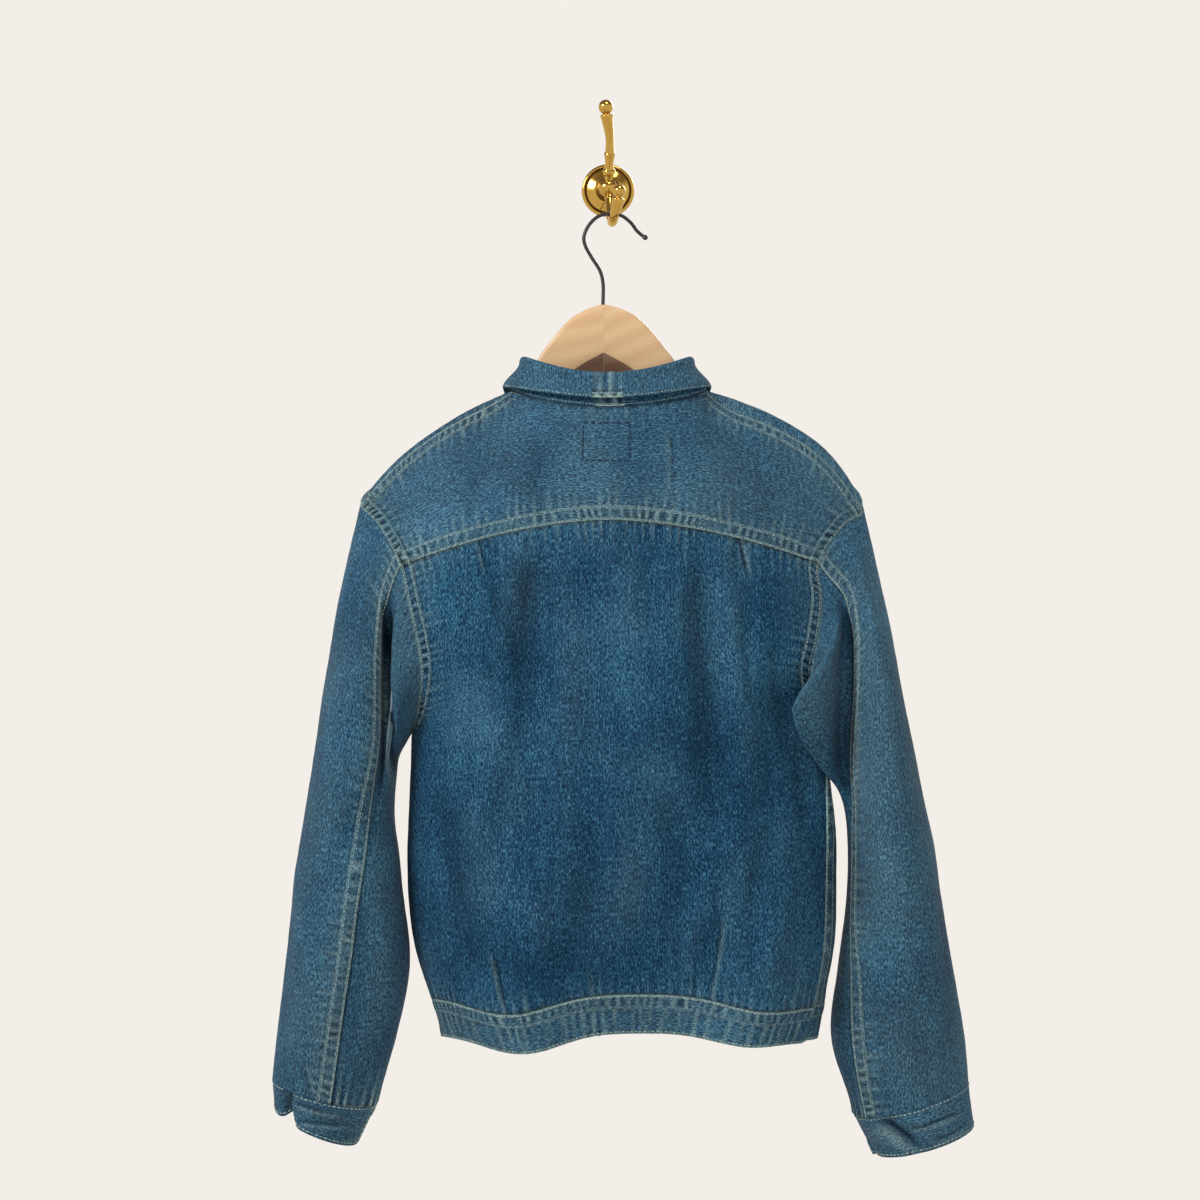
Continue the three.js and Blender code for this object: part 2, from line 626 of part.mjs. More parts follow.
function wallHook() {
  const boss = steps(0.85, 0, 6).map((t) => [bossRadius * Math.sin(Math.PI * t) || 0,
    -bossY - bossRadius * Math.cos(Math.PI * t)]);
  const profile = [[0, 0], [roseRadius, 0], [roseRadius, 1.6], [roseRadius - 1.5, 3.2],
    [roseRadius - 5, 3.6], [13, 5.6], [8, 6.4], ...boss.map(([r, y]) => [r, 2 * -bossY - y]).slice(1)];
  profile[profile.length - 1][0] = 0;
  const geometry = new THREE.LatheGeometry(profile.map((point) => new THREE.Vector2(...point)), 28);
  const rose = new THREE.Mesh(geometry, brass);
  rose.name = 'wall_hook_rose';
  rose.rotation.x = Math.PI;
  jacket.add(rose);
  const ballAt = (t, from, radius) => radius * Math.sqrt(Math.max(0.02, 1 - ((t - (1 + from) / 2)
    / ((1 - from) / 2)) ** 2));
  const upper = [[0.5, -18.75, 7.65], [1.2, -27, 22], [1.4, -38, 42], [-1, -47, 58], [-2.9, -50, 74.4]];
  bar('wall_hook_upper_prong', upper.map((point) => vec(...point)), (t) => (t > 0.83
    ? ballAt(t, 0.83, 6.7)
    : sample(table(['at', 'radius'], [[0, 5.2], [0.25, 3.8], [0.55, 5], [0.72, 4.4], [0.83, 3]]), t).radius),
  22, 10, brass);
  const lower = [[1.36, -18.9, -7.43], [2, -28, -22], [3, -38, -33], [4, -49, -36.4], [6, -59, -31],
    [8.5, -64, -22], [10.6, -65, -5.4]];
  bar('wall_hook_lower_prong', lower.map((point) => vec(...point)), (t) => (t > 0.84
    ? ballAt(t, 0.84, 5.9)
    : sample(table(['at', 'radius'], [[0, 5.2], [0.4, 4.9], [0.7, 4.6], [0.84, 3]]), t).radius),
  22, 10, brass);
}

function addBody() {
  const inside = (point) => vec(10, -60, point.z);
  const across = [-1, -0.95, -0.87, -0.79, -0.71, -0.63, -0.55, -0.47, ...steps(-neckShare, -0.05, 7)];
  const full = [...across, 0, ...across.map((u) => -u).reverse()];
  panel('back_yoke', yoke, full, [0, 0.08, 0.2, 0.4, 0.6, 0.8, 1], { inside });
  const downBack = [0, 0.02, ...steps(0.05, 0.4, 7), ...steps(0.48, 1, 7)];
  panel('back_body', backBody, steps(-1, 1, 38), downBack, { inside });
  const downFront = [0, 0.03, 0.06, 0.09, 0.12, 0.16, 0.18, 0.2, 0.23, 0.26, 0.3, 0.35, 0.4, 0.44, 0.49,
    0.54, 0.62, 0.72, 0.86, 1];
  for (const side of ['left', 'right']) {
    panel(`front_${side}`, (u, v) => front(side, u, v), [0, 0.1, 0.2, 0.32, 0.44, 0.56, 0.67, 0.77, 0.86,
      0.94, 1], downFront, { inside });
  }
  panel('waistband', waistband, steps(-1.995, 1.995, 56), [0, 0.5, 1],
    { inside, thickness: bandThickness });
}

function addCollar() {
  const inside = (point) => vec(0, hangerY, point.z);
  panel('collar_stand', collarStand, steps(-collarOpening, collarOpening, 34), [0, 1],
    { inside, slant: 0.4, gap: 0.6 });
  panel('collar_leaf', collarLeaf, steps(-collarOpening + 4, collarOpening - 4, 34),
    [0, 0.12, 0.25, 0.4, 1], { inside, slant: 0.2 });
}

function addSleeves() {
  const lengths = [0, 0.03, 0.07, 0.11, 0.15, 0.19, 0.23, 0.28, 0.33, 0.39, 0.46, 0.56, 0.7, 0.85, 1];
  const under = [yokePoint, 2.2, 2.4, 2.65, 2.9, 3.2, 3.6, 4, 4.5, 5, 5.6, 6.3, underarmPoint, 7.8, 8.6,
    frontSeamPoint];
  const upper = [frontSeamPoint, 10.3, 11.1, 11.8, 12.5, 13.1, 13.6, 14, 14.4, 14.8, 15.2, 15.5, 15.7, 15.85,
    loopPoints + yokePoint];
  const round = steps(6.4, 20.2, 32);
  for (const side of ['left', 'right']) {
    const inside = (point) => vec(shoulders[side].out * (205 + (-point.z - 300) * 0.1), -60, point.z);
    const half = (u, v) => sleeve(side, u, v);
    panel(`sleeve_${side}_under`, half, under, lengths, { inside, slant: 2.2, gap: 0.45 });
    panel(`sleeve_${side}_upper`, half, upper, lengths, { inside, slant: 2.2, gap: 0.45 });
    panel(`cuff_${side}`, (u, v) => cuff(side, u, v), round, [0, 0.55, 1],
      { inside, thickness: bandThickness });
  }
}

function addFastenings() {
  const inside = (point) => point.clone().add(vec(0, -50, 0));
  panel('front_band', frontBand, steps(0, 1, 4), steps(0, 1, 8), { inside, slant: 0.2 });
  const places = [0.09, 0.29, 0.49, 0.69, 0.89];
  places.forEach((v, i) => {
    button(`front_button_${i + 1}`, frontBand(0.5, v).add(vec(0, seamGap + 0.1, 0)));
  });
}

addBody();
addCollar();
addSleeves();
addFastenings();
for (const side of ['left', 'right']) hangerArm(side);
hangerHook();
wallHook();

export default jacket;
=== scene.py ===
# Denim jacket, seen from its back, on a beech hanger that hangs from a brass wall hook.
# The shapes are worked out in millimetres, and turned to metres where a mesh is made.
import bpy
import bmesh
import math
from functools import lru_cache
from mathutils import Matrix, Vector, noise


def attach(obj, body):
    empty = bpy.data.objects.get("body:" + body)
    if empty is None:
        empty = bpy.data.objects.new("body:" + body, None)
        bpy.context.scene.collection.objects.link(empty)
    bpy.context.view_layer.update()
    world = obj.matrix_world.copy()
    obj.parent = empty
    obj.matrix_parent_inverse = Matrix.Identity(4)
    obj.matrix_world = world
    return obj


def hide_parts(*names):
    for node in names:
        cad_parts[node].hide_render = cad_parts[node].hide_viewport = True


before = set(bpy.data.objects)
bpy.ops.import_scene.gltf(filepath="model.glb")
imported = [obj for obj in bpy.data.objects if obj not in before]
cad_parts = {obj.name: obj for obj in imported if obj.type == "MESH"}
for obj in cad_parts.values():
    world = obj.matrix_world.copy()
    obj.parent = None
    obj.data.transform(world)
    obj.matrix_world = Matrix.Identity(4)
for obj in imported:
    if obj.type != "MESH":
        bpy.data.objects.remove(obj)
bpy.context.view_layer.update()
millimetre = 0.001

# The photograph's viewpoint: level with the jacket's middle, 2.2 m from the wall.
photoView = {"place": (-0.0074, -2.2, -0.3804), "lens": 70.97, "sensor": 36}
cameraData = bpy.data.cameras.new("photo_camera")
cameraData.lens = photoView["lens"]
cameraData.sensor_width = photoView["sensor"]
camera = bpy.data.objects.new("photo_camera", cameraData)
camera.location = photoView["place"]
camera.rotation_euler = (math.radians(90), 0, 0)
bpy.context.scene.collection.objects.link(camera)
bpy.context.scene.camera = camera
print("camera set")


def mix(a, b, t):
    return a + (b - a) * t


def clamp(t):
    return min(1.0, max(0.0, t))


def ease(t):
    c = clamp(t)
    return c * c * (3 - 2 * c)


def bell(offset, width):
    return math.exp(-((offset / width) ** 2))


def spread(start, end, count):
    return [mix(start, end, i / count) for i in range(count + 1)]


def rows(columns, values):
    return [dict(zip(columns.split(), value)) for value in values]


# Reads a table of rows at any place between them, on a smooth curve through the rows. With
# levelStart, the curve sets out level from the first row.
def sample(table, at, levelStart=False):
    i = 0
    while i < len(table) - 2 and at > table[i + 1]["at"]:
        i += 1
    a, b = table[i], table[i + 1]
    before, after = table[max(0, i - 1)], table[min(len(table) - 1, i + 2)]
    span = b["at"] - a["at"]
    t = clamp((at - a["at"]) / span)
    found = {}
    for name in a:
        slopeA = 0 if levelStart and i == 0 else (b[name] - before[name]) / (b["at"] - before["at"]) * span
        slopeB = (after[name] - a[name]) / (after["at"] - a["at"]) * span
        rise = b[name] - a[name]
        found[name] = (a[name] + t * slopeA + t * t * (3 * rise - 2 * slopeA - slopeB)
                       + t ** 3 * (slopeA + slopeB - 2 * rise))
    return found


# A smooth curve through points, whose bends keep away from its corners.
class SmoothCurve:
    def __init__(self, points, closed):
        self.points = [Vector(point) for point in points]
        self.closed = closed

    def at(self, place):
        count = len(self.points)
        i = math.floor(place)
        if self.closed:
            p0, p1, p2, p3 = (self.points[(i + k) % count] for k in (-1, 0, 1, 2))
        else:
            i = min(max(i, 0), count - 2)
            p1, p2 = self.points[i], self.points[i + 1]
            p0 = self.points[i - 1] if i > 0 else p1 * 2 - p2
            p3 = self.points[i + 2] if i + 2 < count else p2 * 2 - p1
        t = place - i
        d0, d1, d2 = (math.sqrt((b - a).length) or 1 for a, b in ((p0, p1), (p1, p2), (p2, p3)))
        leave = ((p1 - p0) / d0 - (p2 - p0) / (d0 + d1) + (p2 - p1) / d1) * d1
        arrive = ((p2 - p1) / d1 - (p3 - p1) / (d1 + d2) + (p3 - p2) / d2) * d1
        return (p1 + leave * t + (-3 * p1 + 3 * p2 - 2 * leave - arrive) * t ** 2
                + (2 * p1 - 2 * p2 + leave + arrive) * t ** 3)


# The jacket's lines: shoulders, armholes, neck and seams, as the solids have them.
jacket = {
    "hangerY": -48, "ridgeRadius": 10, "waistbandHeight": 34, "frontOfRidge": 16, "neckCornerAngle": 78,
    "ridgeNeckAngle": 104, "neckShare": 0.4, "cornerBlend": 5, "yokeRoundness": 1.8, "yokeEdgeFrom": 0.7,
    "yokePoint": 2, "underarmPoint": 7, "frontSeamPoint": 9.5, "loopPoints": 14,
    "underarmLevel": 0.38, "bodyDrop": 420, "ridgeLevel": 0.16, "frontUnderarm": 0.54, "yokeFall": 1.75,
    "backFall": 2, "fallBuild": 3, "shoulderSlant": 0.25, "waistFrom": 0.45, "lastPoint": 16,
}
shoulders = {
    "left": {"out": -1, "neck": (-88, -48, -190), "tip": (-224, -48, -289), "even": 0.6, "power": 3,
             "seam": -12.5},
    "right": {"out": 1, "neck": (90, -48, -190), "tip": (230, -48, -288), "even": 0.48, "power": 4,
              "seam": -19},
}


def overShoulder(side, f, across):
    line = shoulders[side]
    radius = jacket["ridgeRadius"]
    turn = min(abs(across) / radius, math.pi / 2)
    beyond = abs(across) - turn * radius
    drop = radius * (1 - math.cos(turn)) + beyond
    away = radius * math.sin(turn) + jacket["shoulderSlant"] * beyond
    late = line["even"] * f + (1 - line["even"]) * f ** line["power"]
    return Vector((mix(line["neck"][0], line["tip"][0], f),
                   jacket["hangerY"] + math.copysign(away, across),
                   mix(line["neck"][2], line["tip"][2], late) - drop))


# Each armhole is a loop: from the shoulder seam down the back, under the arm at point 7,
# up the front and over the shoulder tip at point 13.
armholePlaces = {
    "left": [(-207, -78, -312), (-185, -95, -350), (-177, -104, -383), (-169.5, -107, -415),
             (-166, -104, -443), (-170, -88, -478), (-177, -60, -500), (-177, -32, -480),
             (-176, -16, -440), (-179, -13, -390), (-194, -19, -340)],
    "right": [(211, -80, -314), (187.5, -95, -347.5), (189, -104, -381), (184.5, -107, -416),
              (179, -105, -443), (185, -90, -476), (195, -64, -500), (195, -34, -480),
              (191, -16, -440), (192, -13, -390), (204, -19, -340)],
}
armholeCurves = {
    side: SmoothCurve([overShoulder(side, 1, shoulders[side]["seam"]), *armholePlaces[side],
                       overShoulder(side, 1, jacket["frontOfRidge"]), overShoulder(side, 1, 0)], True)
    for side in shoulders
}


@lru_cache(maxsize=None)
def armhole(side, point):
    return armholeCurves[side].at(point % jacket["loopPoints"]).freeze()


# Two ovals round the neck, by the angle from the middle of the back: the seam where the
# collar is sewn on, and the fold from which its leaf falls.
neckOvals = {
    "seam": {"x": 1, "half": 89, "back": 50, "front": 34, "z": -190, "backPower": 1.6},
    "fold": {"x": -1, "half": 75, "back": 44, "front": 30, "z": -163, "backPower": 2},
}
neckDrop = {"back": 18, "front": 78, "frontPower": 1.4}


def neckOval(name, angle):
    oval, turn = neckOvals[name], math.radians(angle)
    back, ahead = max(0, math.cos(turn)), max(0, -math.cos(turn))
    drop = neckDrop["back"] * back ** oval["backPower"] + neckDrop["front"] * ahead ** neckDrop["frontPower"]
    return Vector((oval["x"] + oval["half"] * math.sin(turn),
                   jacket["hangerY"] - oval["back"] * back + oval["front"] * ahead, oval["z"] - drop))


def neckSeam(angle):
    return neckOval("seam", angle)


# A row across a panel from its centre to one side, as part of an oval seen from above. A
# shallow row falls as it goes out, and one that turns the corner falls as it comes forward.
cornerRow = {"from": 84, "over": 16}


def ovalRow(centre, end, reach, f, zPower=1):
    angle = math.radians(reach) * f
    across = math.sin(angle) / math.sin(math.radians(reach))
    depth = (1 - math.cos(angle)) / (1 - math.cos(math.radians(reach)))
    fall = mix(abs(across) ** zPower, depth, ease((reach - cornerRow["from"]) / cornerRow["over"]))
    return Vector((mix(centre[0], end[0], across), mix(centre[1], end[1], depth),
                   mix(centre[2], end[2], fall)))


yokeSeamCentre = Vector((0, -127, -310))
yokeSeamReach = 58


def sideOf(u):
    return "left" if u < 0 else "right"


@lru_cache(maxsize=None)
def yokeSeam(u):
    return ovalRow(yokeSeamCentre, armhole(sideOf(u), jacket["yokePoint"]), yokeSeamReach, abs(u),
                   jacket["yokeFall"]).freeze()


@lru_cache(maxsize=None)
def yokeTop(u):
    side, share, corner = sideOf(u), jacket["neckShare"], jacket["neckCornerAngle"]
    far = abs(u)
    if far <= share:
        return neckSeam(math.copysign(corner, u) * far / share).freeze()
    f = (far - share) / (1 - share)
    start = neckSeam(shoulders[side]["out"] * corner)
    seam = overShoulder(side, f, shoulders[side]["seam"])
    return start.lerp(seam, ease(f * jacket["cornerBlend"])).freeze()


def yoke(u, v):
    top, bottom, side = yokeTop(u), yokeSeam(u), sideOf(u)
    junction = jacket["yokePoint"]
    edge = armhole(side, junction * v)
    straight = top.lerp(bottom, v)
    bow = edge - armhole(side, 0).lerp(armhole(side, junction), v)
    out = 1 - (1 - v) ** jacket["yokeRoundness"]
    straight.y = mix(top.y, bottom.y, out)
    fadeFrom = jacket["yokeEdgeFrom"]
    edgeShare = clamp((abs(u) - fadeFrom) / (1 - fadeFrom)) ** 2
    bowY = edge.y - mix(armhole(side, 0).y, armhole(side, junction).y, out)
    return straight + Vector((bow.x, bowY, bow.z)) * edgeShare


sideSeams = {
    "left": rows("at x y z", [(0.38, -177, -60, -500), (0.54, -179, -54, -562), (0.7, -180, -51, -625),
                              (0.86, -174, -51, -690), (1, -158, -54, -742)]),
    "right": rows("at x y z", [(0.38, 195, -64, -500), (0.54, 195, -88, -562), (0.7, 193, -100, -625),
                               (0.86, 190, -105, -688), (1, 181, -106, -739)]),
}
backRows = rows("at x y z reachLeft reachRight", [
    (0, 0, -127, -310, 58, 58), (0.12, 1, -131, -362, 56, 56), (0.23, 2, -135, -412, 56, 57),
    (0.3, 4, -137, -447, 68, 69), (0.38, 6, -139, -484, 90, 90), (0.46, 8, -140, -518, 93, 80),
    (0.54, 10, -141, -550, 95, 71), (0.7, 15, -141, -613, 97, 68), (0.85, 19, -141, -668, 97, 68),
    (1, 22, -140, -724, 97, 68)])
waistLobes = [{"x": -93, "width": 52, "out": 34, "down": 16}, {"x": 140, "width": 46, "out": 30, "down": 9}]
pleatEnds = {"yoke": 0.04, "waist": 0.03, "free": 0.15}
softPleats = rows("x lean start end depth width", [
    (-106, 0.28, 0, 0.3, 6, 9), (113, 0.07, 0, 0.36, 6, 9), (-62, 0, 0.05, 0.72, 8, 17),
    (80, 0.05, 0.05, 0.68, 8, 17), (-104, 0.22, 0.78, 1, 6, 10), (96, -0.14, 0.76, 1, 6, 10),
    (168, 0, 0.2, 0.66, 22, 34)])


@lru_cache(maxsize=None)
def bodySide(side, level):
    underarm = jacket["underarmLevel"]
    if level <= underarm:
        return armhole(side, mix(jacket["yokePoint"], jacket["underarmPoint"], level / underarm))
    row = sample(sideSeams[side], level)
    return Vector((row["x"], row["y"], row["z"])).freeze()


@lru_cache(maxsize=None)
def backRow(level):
    return sample(backRows, level)


def waistWave(x, level):
    build = ease((level - jacket["waistFrom"]) / (1 - jacket["waistFrom"]))
    out, down = (sum(bell(x - lobe["x"], lobe["width"]) * lobe[way] for lobe in waistLobes)
                 for way in ("out", "down"))
    return build * out, build ** 2 * down


def pleatDepth(x, level):
    total = 0
    for pleat in softPleats:
        start, end = pleat["start"], pleat["end"]
        centre = pleat["x"] + pleat["lean"] * jacket["bodyDrop"] * (level - start)
        opens = ease((level - start) / (pleatEnds["yoke"] if start == 0 else pleatEnds["free"]))
        closes = ease((end - level) / (pleatEnds["waist"] if end == 1 else pleatEnds["free"]))
        total += opens * closes * pleat["depth"] * bell(x - centre, pleat["width"])
    return total


def backBody(u, level):
    row = backRow(level)
    centre = yokeSeamCentre if level == 0 else Vector((row["x"], row["y"], row["z"]))
    reach = row["reachLeft"] if u < 0 else row["reachRight"]
    zPower = mix(jacket["yokeFall"], jacket["backFall"], ease(level * jacket["fallBuild"]))
    point = ovalRow(centre, bodySide(sideOf(u), level), reach, abs(u), zPower)
    facing = math.cos(math.radians(reach) * u) ** 2
    out, down = waistWave(point.x, level)
    point.y += facing * pleatDepth(point.x, level) - math.sqrt(facing) * out
    point.z -= math.sqrt(facing) * down
    return point


frontCentreTop = Vector((1, -14, -268))
frontCentreBottom = Vector((18, -13, -742))
frontColumns = "at hole neck down reach power"
frontTop = [(0.16, 12, 104, 0, 30, 1.35), (0.24, 11, 132, 0, 35, 1.2), (0.32, 10, 160, 0, 40, 1),
            (0.4, 9, 180, 0.1, 48, 1), (0.48, 7.8, 180, 0.3, 66, 1), (0.54, 7, 180, 0.42, 88, 1)]
frontRows = {
    "left": rows(frontColumns, [*frontTop, (0.7, 7, 180, 0.62, 84, 1), (1, 7, 180, 1, 84, 1)]),
    "right": rows(frontColumns, [*frontTop, (0.7, 7, 180, 0.62, 108, 1), (1, 7, 180, 1, 112, 1)]),
}


@lru_cache(maxsize=None)
def frontRow(side, level):
    row = sample(frontRows[side], level)
    out = shoulders[side]["out"]
    inner = neckSeam(out * min(180, row["neck"])) + (frontCentreBottom - frontCentreTop) * clamp(row["down"])
    underarm, low = jacket["underarmLevel"], jacket["frontUnderarm"]
    if level < low:
        end = armhole(side, row["hole"])
    else:
        end = bodySide(side, mix(underarm, 1, (level - low) / (1 - low)))
    return inner.freeze(), end, row["reach"], row["power"]


def front(side, u, level):
    out, seam = shoulders[side]["out"], shoulders[side]["seam"]
    if level <= jacket["ridgeLevel"]:
        share = level / jacket["ridgeLevel"]
        across = mix(seam, jacket["frontOfRidge"], share)
        start = neckSeam(out * mix(jacket["neckCornerAngle"], jacket["ridgeNeckAngle"], share))
        return start.lerp(overShoulder(side, u, across), ease(u * jacket["cornerBlend"]))
    inner, end, reach, power = frontRow(side, level)
    return ovalRow(inner, end, reach, u, power)


@lru_cache(maxsize=None)
def waistSeam(turn):
    if abs(turn) <= 1:
        return backBody(turn, 1).freeze()
    return front(sideOf(turn), 2 - abs(turn), 1).freeze()


# The waistband leans in towards the jacket's middle on its way down.
waistMiddle = {"x": 20, "reach": 90, "leanBack": 10, "leanFront": 6, "tuck": 0.1, "tuckX": 148,
               "tuckWidth": 60}


def waistband(turn, v):
    seam = waistSeam(turn)
    offset = waistMiddle["x"] - seam.x
    inward = math.copysign(ease(abs(offset) / waistMiddle["reach"]), offset)
    lean = waistMiddle["leanBack"] if abs(turn) <= 1 else waistMiddle["leanFront"]
    tuck = waistMiddle["tuck"] * bell(seam.x - waistMiddle["tuckX"], waistMiddle["tuckWidth"])
    height = jacket["waistbandHeight"] * (1 - tuck)
    return seam + Vector((inward * lean * v, 0, -height * v))


# The collar: a stand up from the neck seam, and a leaf that folds over it and falls outside.
collar = {"opening": 174, "leafEnd": 170, "reach": 11, "sideReach": 9, "fall": 19.4, "sideFall": 5,
          "frontFall": 26, "frontFrom": 95, "frontOver": 75, "sideAt": 85, "sideWidth": 50, "bend": 0.4,
          "standLift": 0.2}
leafProfile = rows("at out up", [(0, -1.5, 2.6), (0.12, 0.8, 3.8), (0.25, 3.6, 2.4), (0.4, 4.8, -1.5),
                                 (1, 0, 0)])


@lru_cache(maxsize=None)
def collarFold(angle):
    return neckOval("fold", angle).freeze()


def outwards(angle):
    return Vector((math.sin(math.radians(angle)), -math.cos(math.radians(angle)), 0))


def collarStand(angle, v):
    return (neckSeam(angle) + Vector((0, 0, collar["standLift"]))).lerp(collarFold(angle), v)


def collarLeaf(angle, v):
    toFront = ease((abs(angle) - collar["frontFrom"]) / collar["frontOver"])
    toSide = bell(abs(angle) - collar["sideAt"], collar["sideWidth"])
    profile = sample(leafProfile, min(v, collar["bend"]))
    hanging = (v - collar["bend"]) / (1 - collar["bend"])
    reach = mix(profile["out"], collar["reach"] + collar["sideReach"] * toSide, ease(hanging))
    low = -(collar["fall"] + collar["sideFall"] * toSide + collar["frontFall"] * toFront)
    fall = mix(profile["up"], low, clamp(hanging))
    return collarFold(angle) + outwards(angle) * reach + Vector((0, 0, fall))


# The sleeves: ovals by their outer and inner side, middle depth, half depth and seam angle.
ringColumns = "at outX outZ inX inZ y half seam"
sleeveRings = {
    "left": rows(ringColumns, [
        (0.36, -262, -490, -188, -528, -67, 60, -124), (0.48, -270, -545, -193, -566, -67, 60, -125),
        (0.62, -283, -633, -188, -645, -67, 58, -110), (0.76, -292, -700, -180, -711, -66, 56, -99),
        (0.88, -298, -755, -189, -768, -64, 53, -98), (1, -303, -811, -209, -835, -62, 50, -103)]),
    "right": rows(ringColumns, [
        (0.36, 272, -490, 216, -528, -67, 60, -158), (0.48, 283, -545, 219, -566, -67, 61, -166),
        (0.62, 300, -633, 216, -645, -67, 60, -164), (0.76, 311, -700, 208, -711, -66, 58, -148),
        (0.88, 321, -765, 202, -777, -64, 55, -138), (1, 325, -814, 222, -845, -62, 52, -148)]),
}
sleeve = {"capEnd": 0.36, "frontSeamAngle": -236, "step": 0.02, "capDepth": 60, "topPoint": -0.5,
          "topWidth": 3, "leaveOut": 0.6, "leaveTop": 0.42, "leaveAcross": 0.5, "leaveDown": 0.8,
          "foldFrom": 0.03, "foldOver": 0.1, "shelfWidth": 1.1, "shelfAt": 0.16, "shelfFrom": 0.07,
          "swellFrom": 0.1}
underShares = rows("at share", [(2, 0), (3, 0.16), (4, 0.29), (5, 0.39), (6, 0.49), (7, 0.59), (8, 0.74),
                                (9.5, 1)])
upperShares = rows("at share", [(9.5, 0), (11, 0.22), (12, 0.39), (13, 0.49), (14, 0.67), (15, 0.83),
                                (16, 1)])
sleeveFolds = {
    "left": {"depth": 24, "width": 0.34, "middle": 2.35, "fadeFrom": 0.3, "fadeTo": 0.56, "shelf": 0,
             "point": 4.2, "back": 1.3, "under": 1.3, "at": 0.2, "before": 0.1, "after": 0.1,
             "move": (-2, -10, -12)},
    "right": {"depth": 24, "width": 0.34, "middle": 2.3, "fadeFrom": 0.3, "fadeTo": 0.5, "shelf": 17,
              "point": 3.7, "back": 1.4, "under": 1.0, "at": 0.2, "before": 0.1, "after": 0.2,
              "move": (-50, -42, -8)},
}


@lru_cache(maxsize=None)
def ringShare(point):
    turned = point + jacket["loopPoints"] if point < jacket["yokePoint"] else point
    under = turned <= jacket["frontSeamPoint"]
    return under, sample(underShares if under else upperShares, turned)["share"]


def ringAngle(point, seam):
    under, share = ringShare(point)
    if under:
        return mix(seam, sleeve["frontSeamAngle"], share)
    return mix(sleeve["frontSeamAngle"], seam - 360, share)


@lru_cache(maxsize=None)
def ringAt(side, at):
    return sample(sleeveRings[side], at)


def ovalPlace(ring, angle):
    turn = math.radians(angle)
    return Vector((mix(ring["inX"], ring["outX"], 0.5 + 0.5 * math.cos(turn)),
                   ring["y"] + ring["half"] * math.sin(turn),
                   mix(ring["inZ"], ring["outZ"], 0.5 + 0.5 * math.cos(turn))))


def sleeveRing(side, point, at):
    ring = ringAt(side, at)
    return ovalPlace(ring, ringAngle(point, ring["seam"]))


# Where a line down the sleeve's cap starts and ends, and the way that it leaves and arrives.
@lru_cache(maxsize=None)
def capLine(side, point):
    start = armhole(side, point)
    end = sleeveRing(side, point, sleeve["capEnd"])
    length = (end - start).length
    depth = clamp((jacket["hangerY"] - start.y) / sleeve["capDepth"] + 0.5) - 0.5
    turned = point - jacket["loopPoints"] if point > jacket["loopPoints"] / 2 else point
    fromTop = turned - sleeve["topPoint"]
    outwardShare = sleeve["leaveOut"] - sleeve["leaveTop"] * bell(fromTop, sleeve["topWidth"])
    leave = Vector((shoulders[side]["out"] * outwardShare, -sleeve["leaveAcross"] * depth,
                    -sleeve["leaveDown"])).normalized()
    onward = (sleeveRing(side, point, sleeve["capEnd"] + sleeve["step"]) - end).normalized()
    return start, leave * length, end, onward * length


def sleeveBase(side, point, at):
    if at >= sleeve["capEnd"]:
        return sleeveRing(side, point, at)
    start, leave, end, onward = capLine(side, point)
    t = at / sleeve["capEnd"]
    return (start * (2 * t ** 3 - 3 * t ** 2 + 1) + leave * (t ** 3 - 2 * t ** 2 + t)
            + end * (3 * t ** 2 - 2 * t ** 3) + onward * (t ** 3 - t ** 2))


def sleeveShape(side, point, at):
    fold = sleeveFolds[side]
    base = sleeveBase(side, point, at)
    turned = point - jacket["loopPoints"] if point > jacket["loopPoints"] else point
    fade = ease((at - sleeve["foldFrom"]) / sleeve["foldOver"])
    fade *= 1 - ease((at - fold["fadeFrom"]) / (fold["fadeTo"] - fold["fadeFrom"]))
    base.y += fold["depth"] * fade * bell(turned - fold["middle"], fold["width"])
    shelf = fold["shelf"] * bell(turned - jacket["yokePoint"], sleeve["shelfWidth"])
    sideways = shelf * bell(at - sleeve["shelfAt"], sleeve["shelfAt"]) * ease(at / sleeve["shelfFrom"])
    base.x += shoulders[side]["out"] * sideways
    length = fold["before"] if at < fold["at"] else fold["after"]
    width = fold["back"] if turned < fold["point"] else fold["under"]
    swell = bell(turned - fold["point"], width) * bell(at - fold["at"], length)
    swell *= ease(at / sleeve["swellFrom"])
    return base + Vector(fold["move"]) * swell


# The cuffs are undone: open rings from the sleeves' ends, wavy at their lower edge.
cuffs = {
    "left": {"outX": -301, "outZ": -842, "inX": -226, "inZ": -875, "y": -62, "half": 46,
             "wave": 9, "wavePoint": 0.4, "rise": 4.5, "notch": 9, "notchX": -284.5},
    "right": {"outX": 330, "outZ": -853, "inX": 240, "inZ": -880, "y": -62, "half": 49,
              "wave": 7, "wavePoint": 3.3, "rise": 0, "notch": 0, "notchX": 0},
}
cuffWidths = {"wave": 0.5, "notch": 5}


def cuff(side, point, v):
    turned = point - jacket["loopPoints"] if point > jacket["lastPoint"] else point
    edge = cuffs[side]
    seam = sleeveShape(side, turned, 1)
    place = ovalPlace(edge, ringAngle(turned, sleeveRings[side][-1]["seam"]))
    wave = edge["wave"] * bell(turned - edge["wavePoint"], cuffWidths["wave"])
    place.y += wave
    place.z += edge["rise"] + edge["notch"] * bell(place.x - edge["notchX"], cuffWidths["notch"])
    return seam.lerp(place, v) + Vector((0, wave * v * (1 - v), 0))


# The button band lies over both fronts where they meet.
buttonBand = {"width": 38, "lift": 2.2, "top": 0.012, "bottom": 0.994,
              "buttons": (0.09, 0.29, 0.49, 0.69, 0.89)}


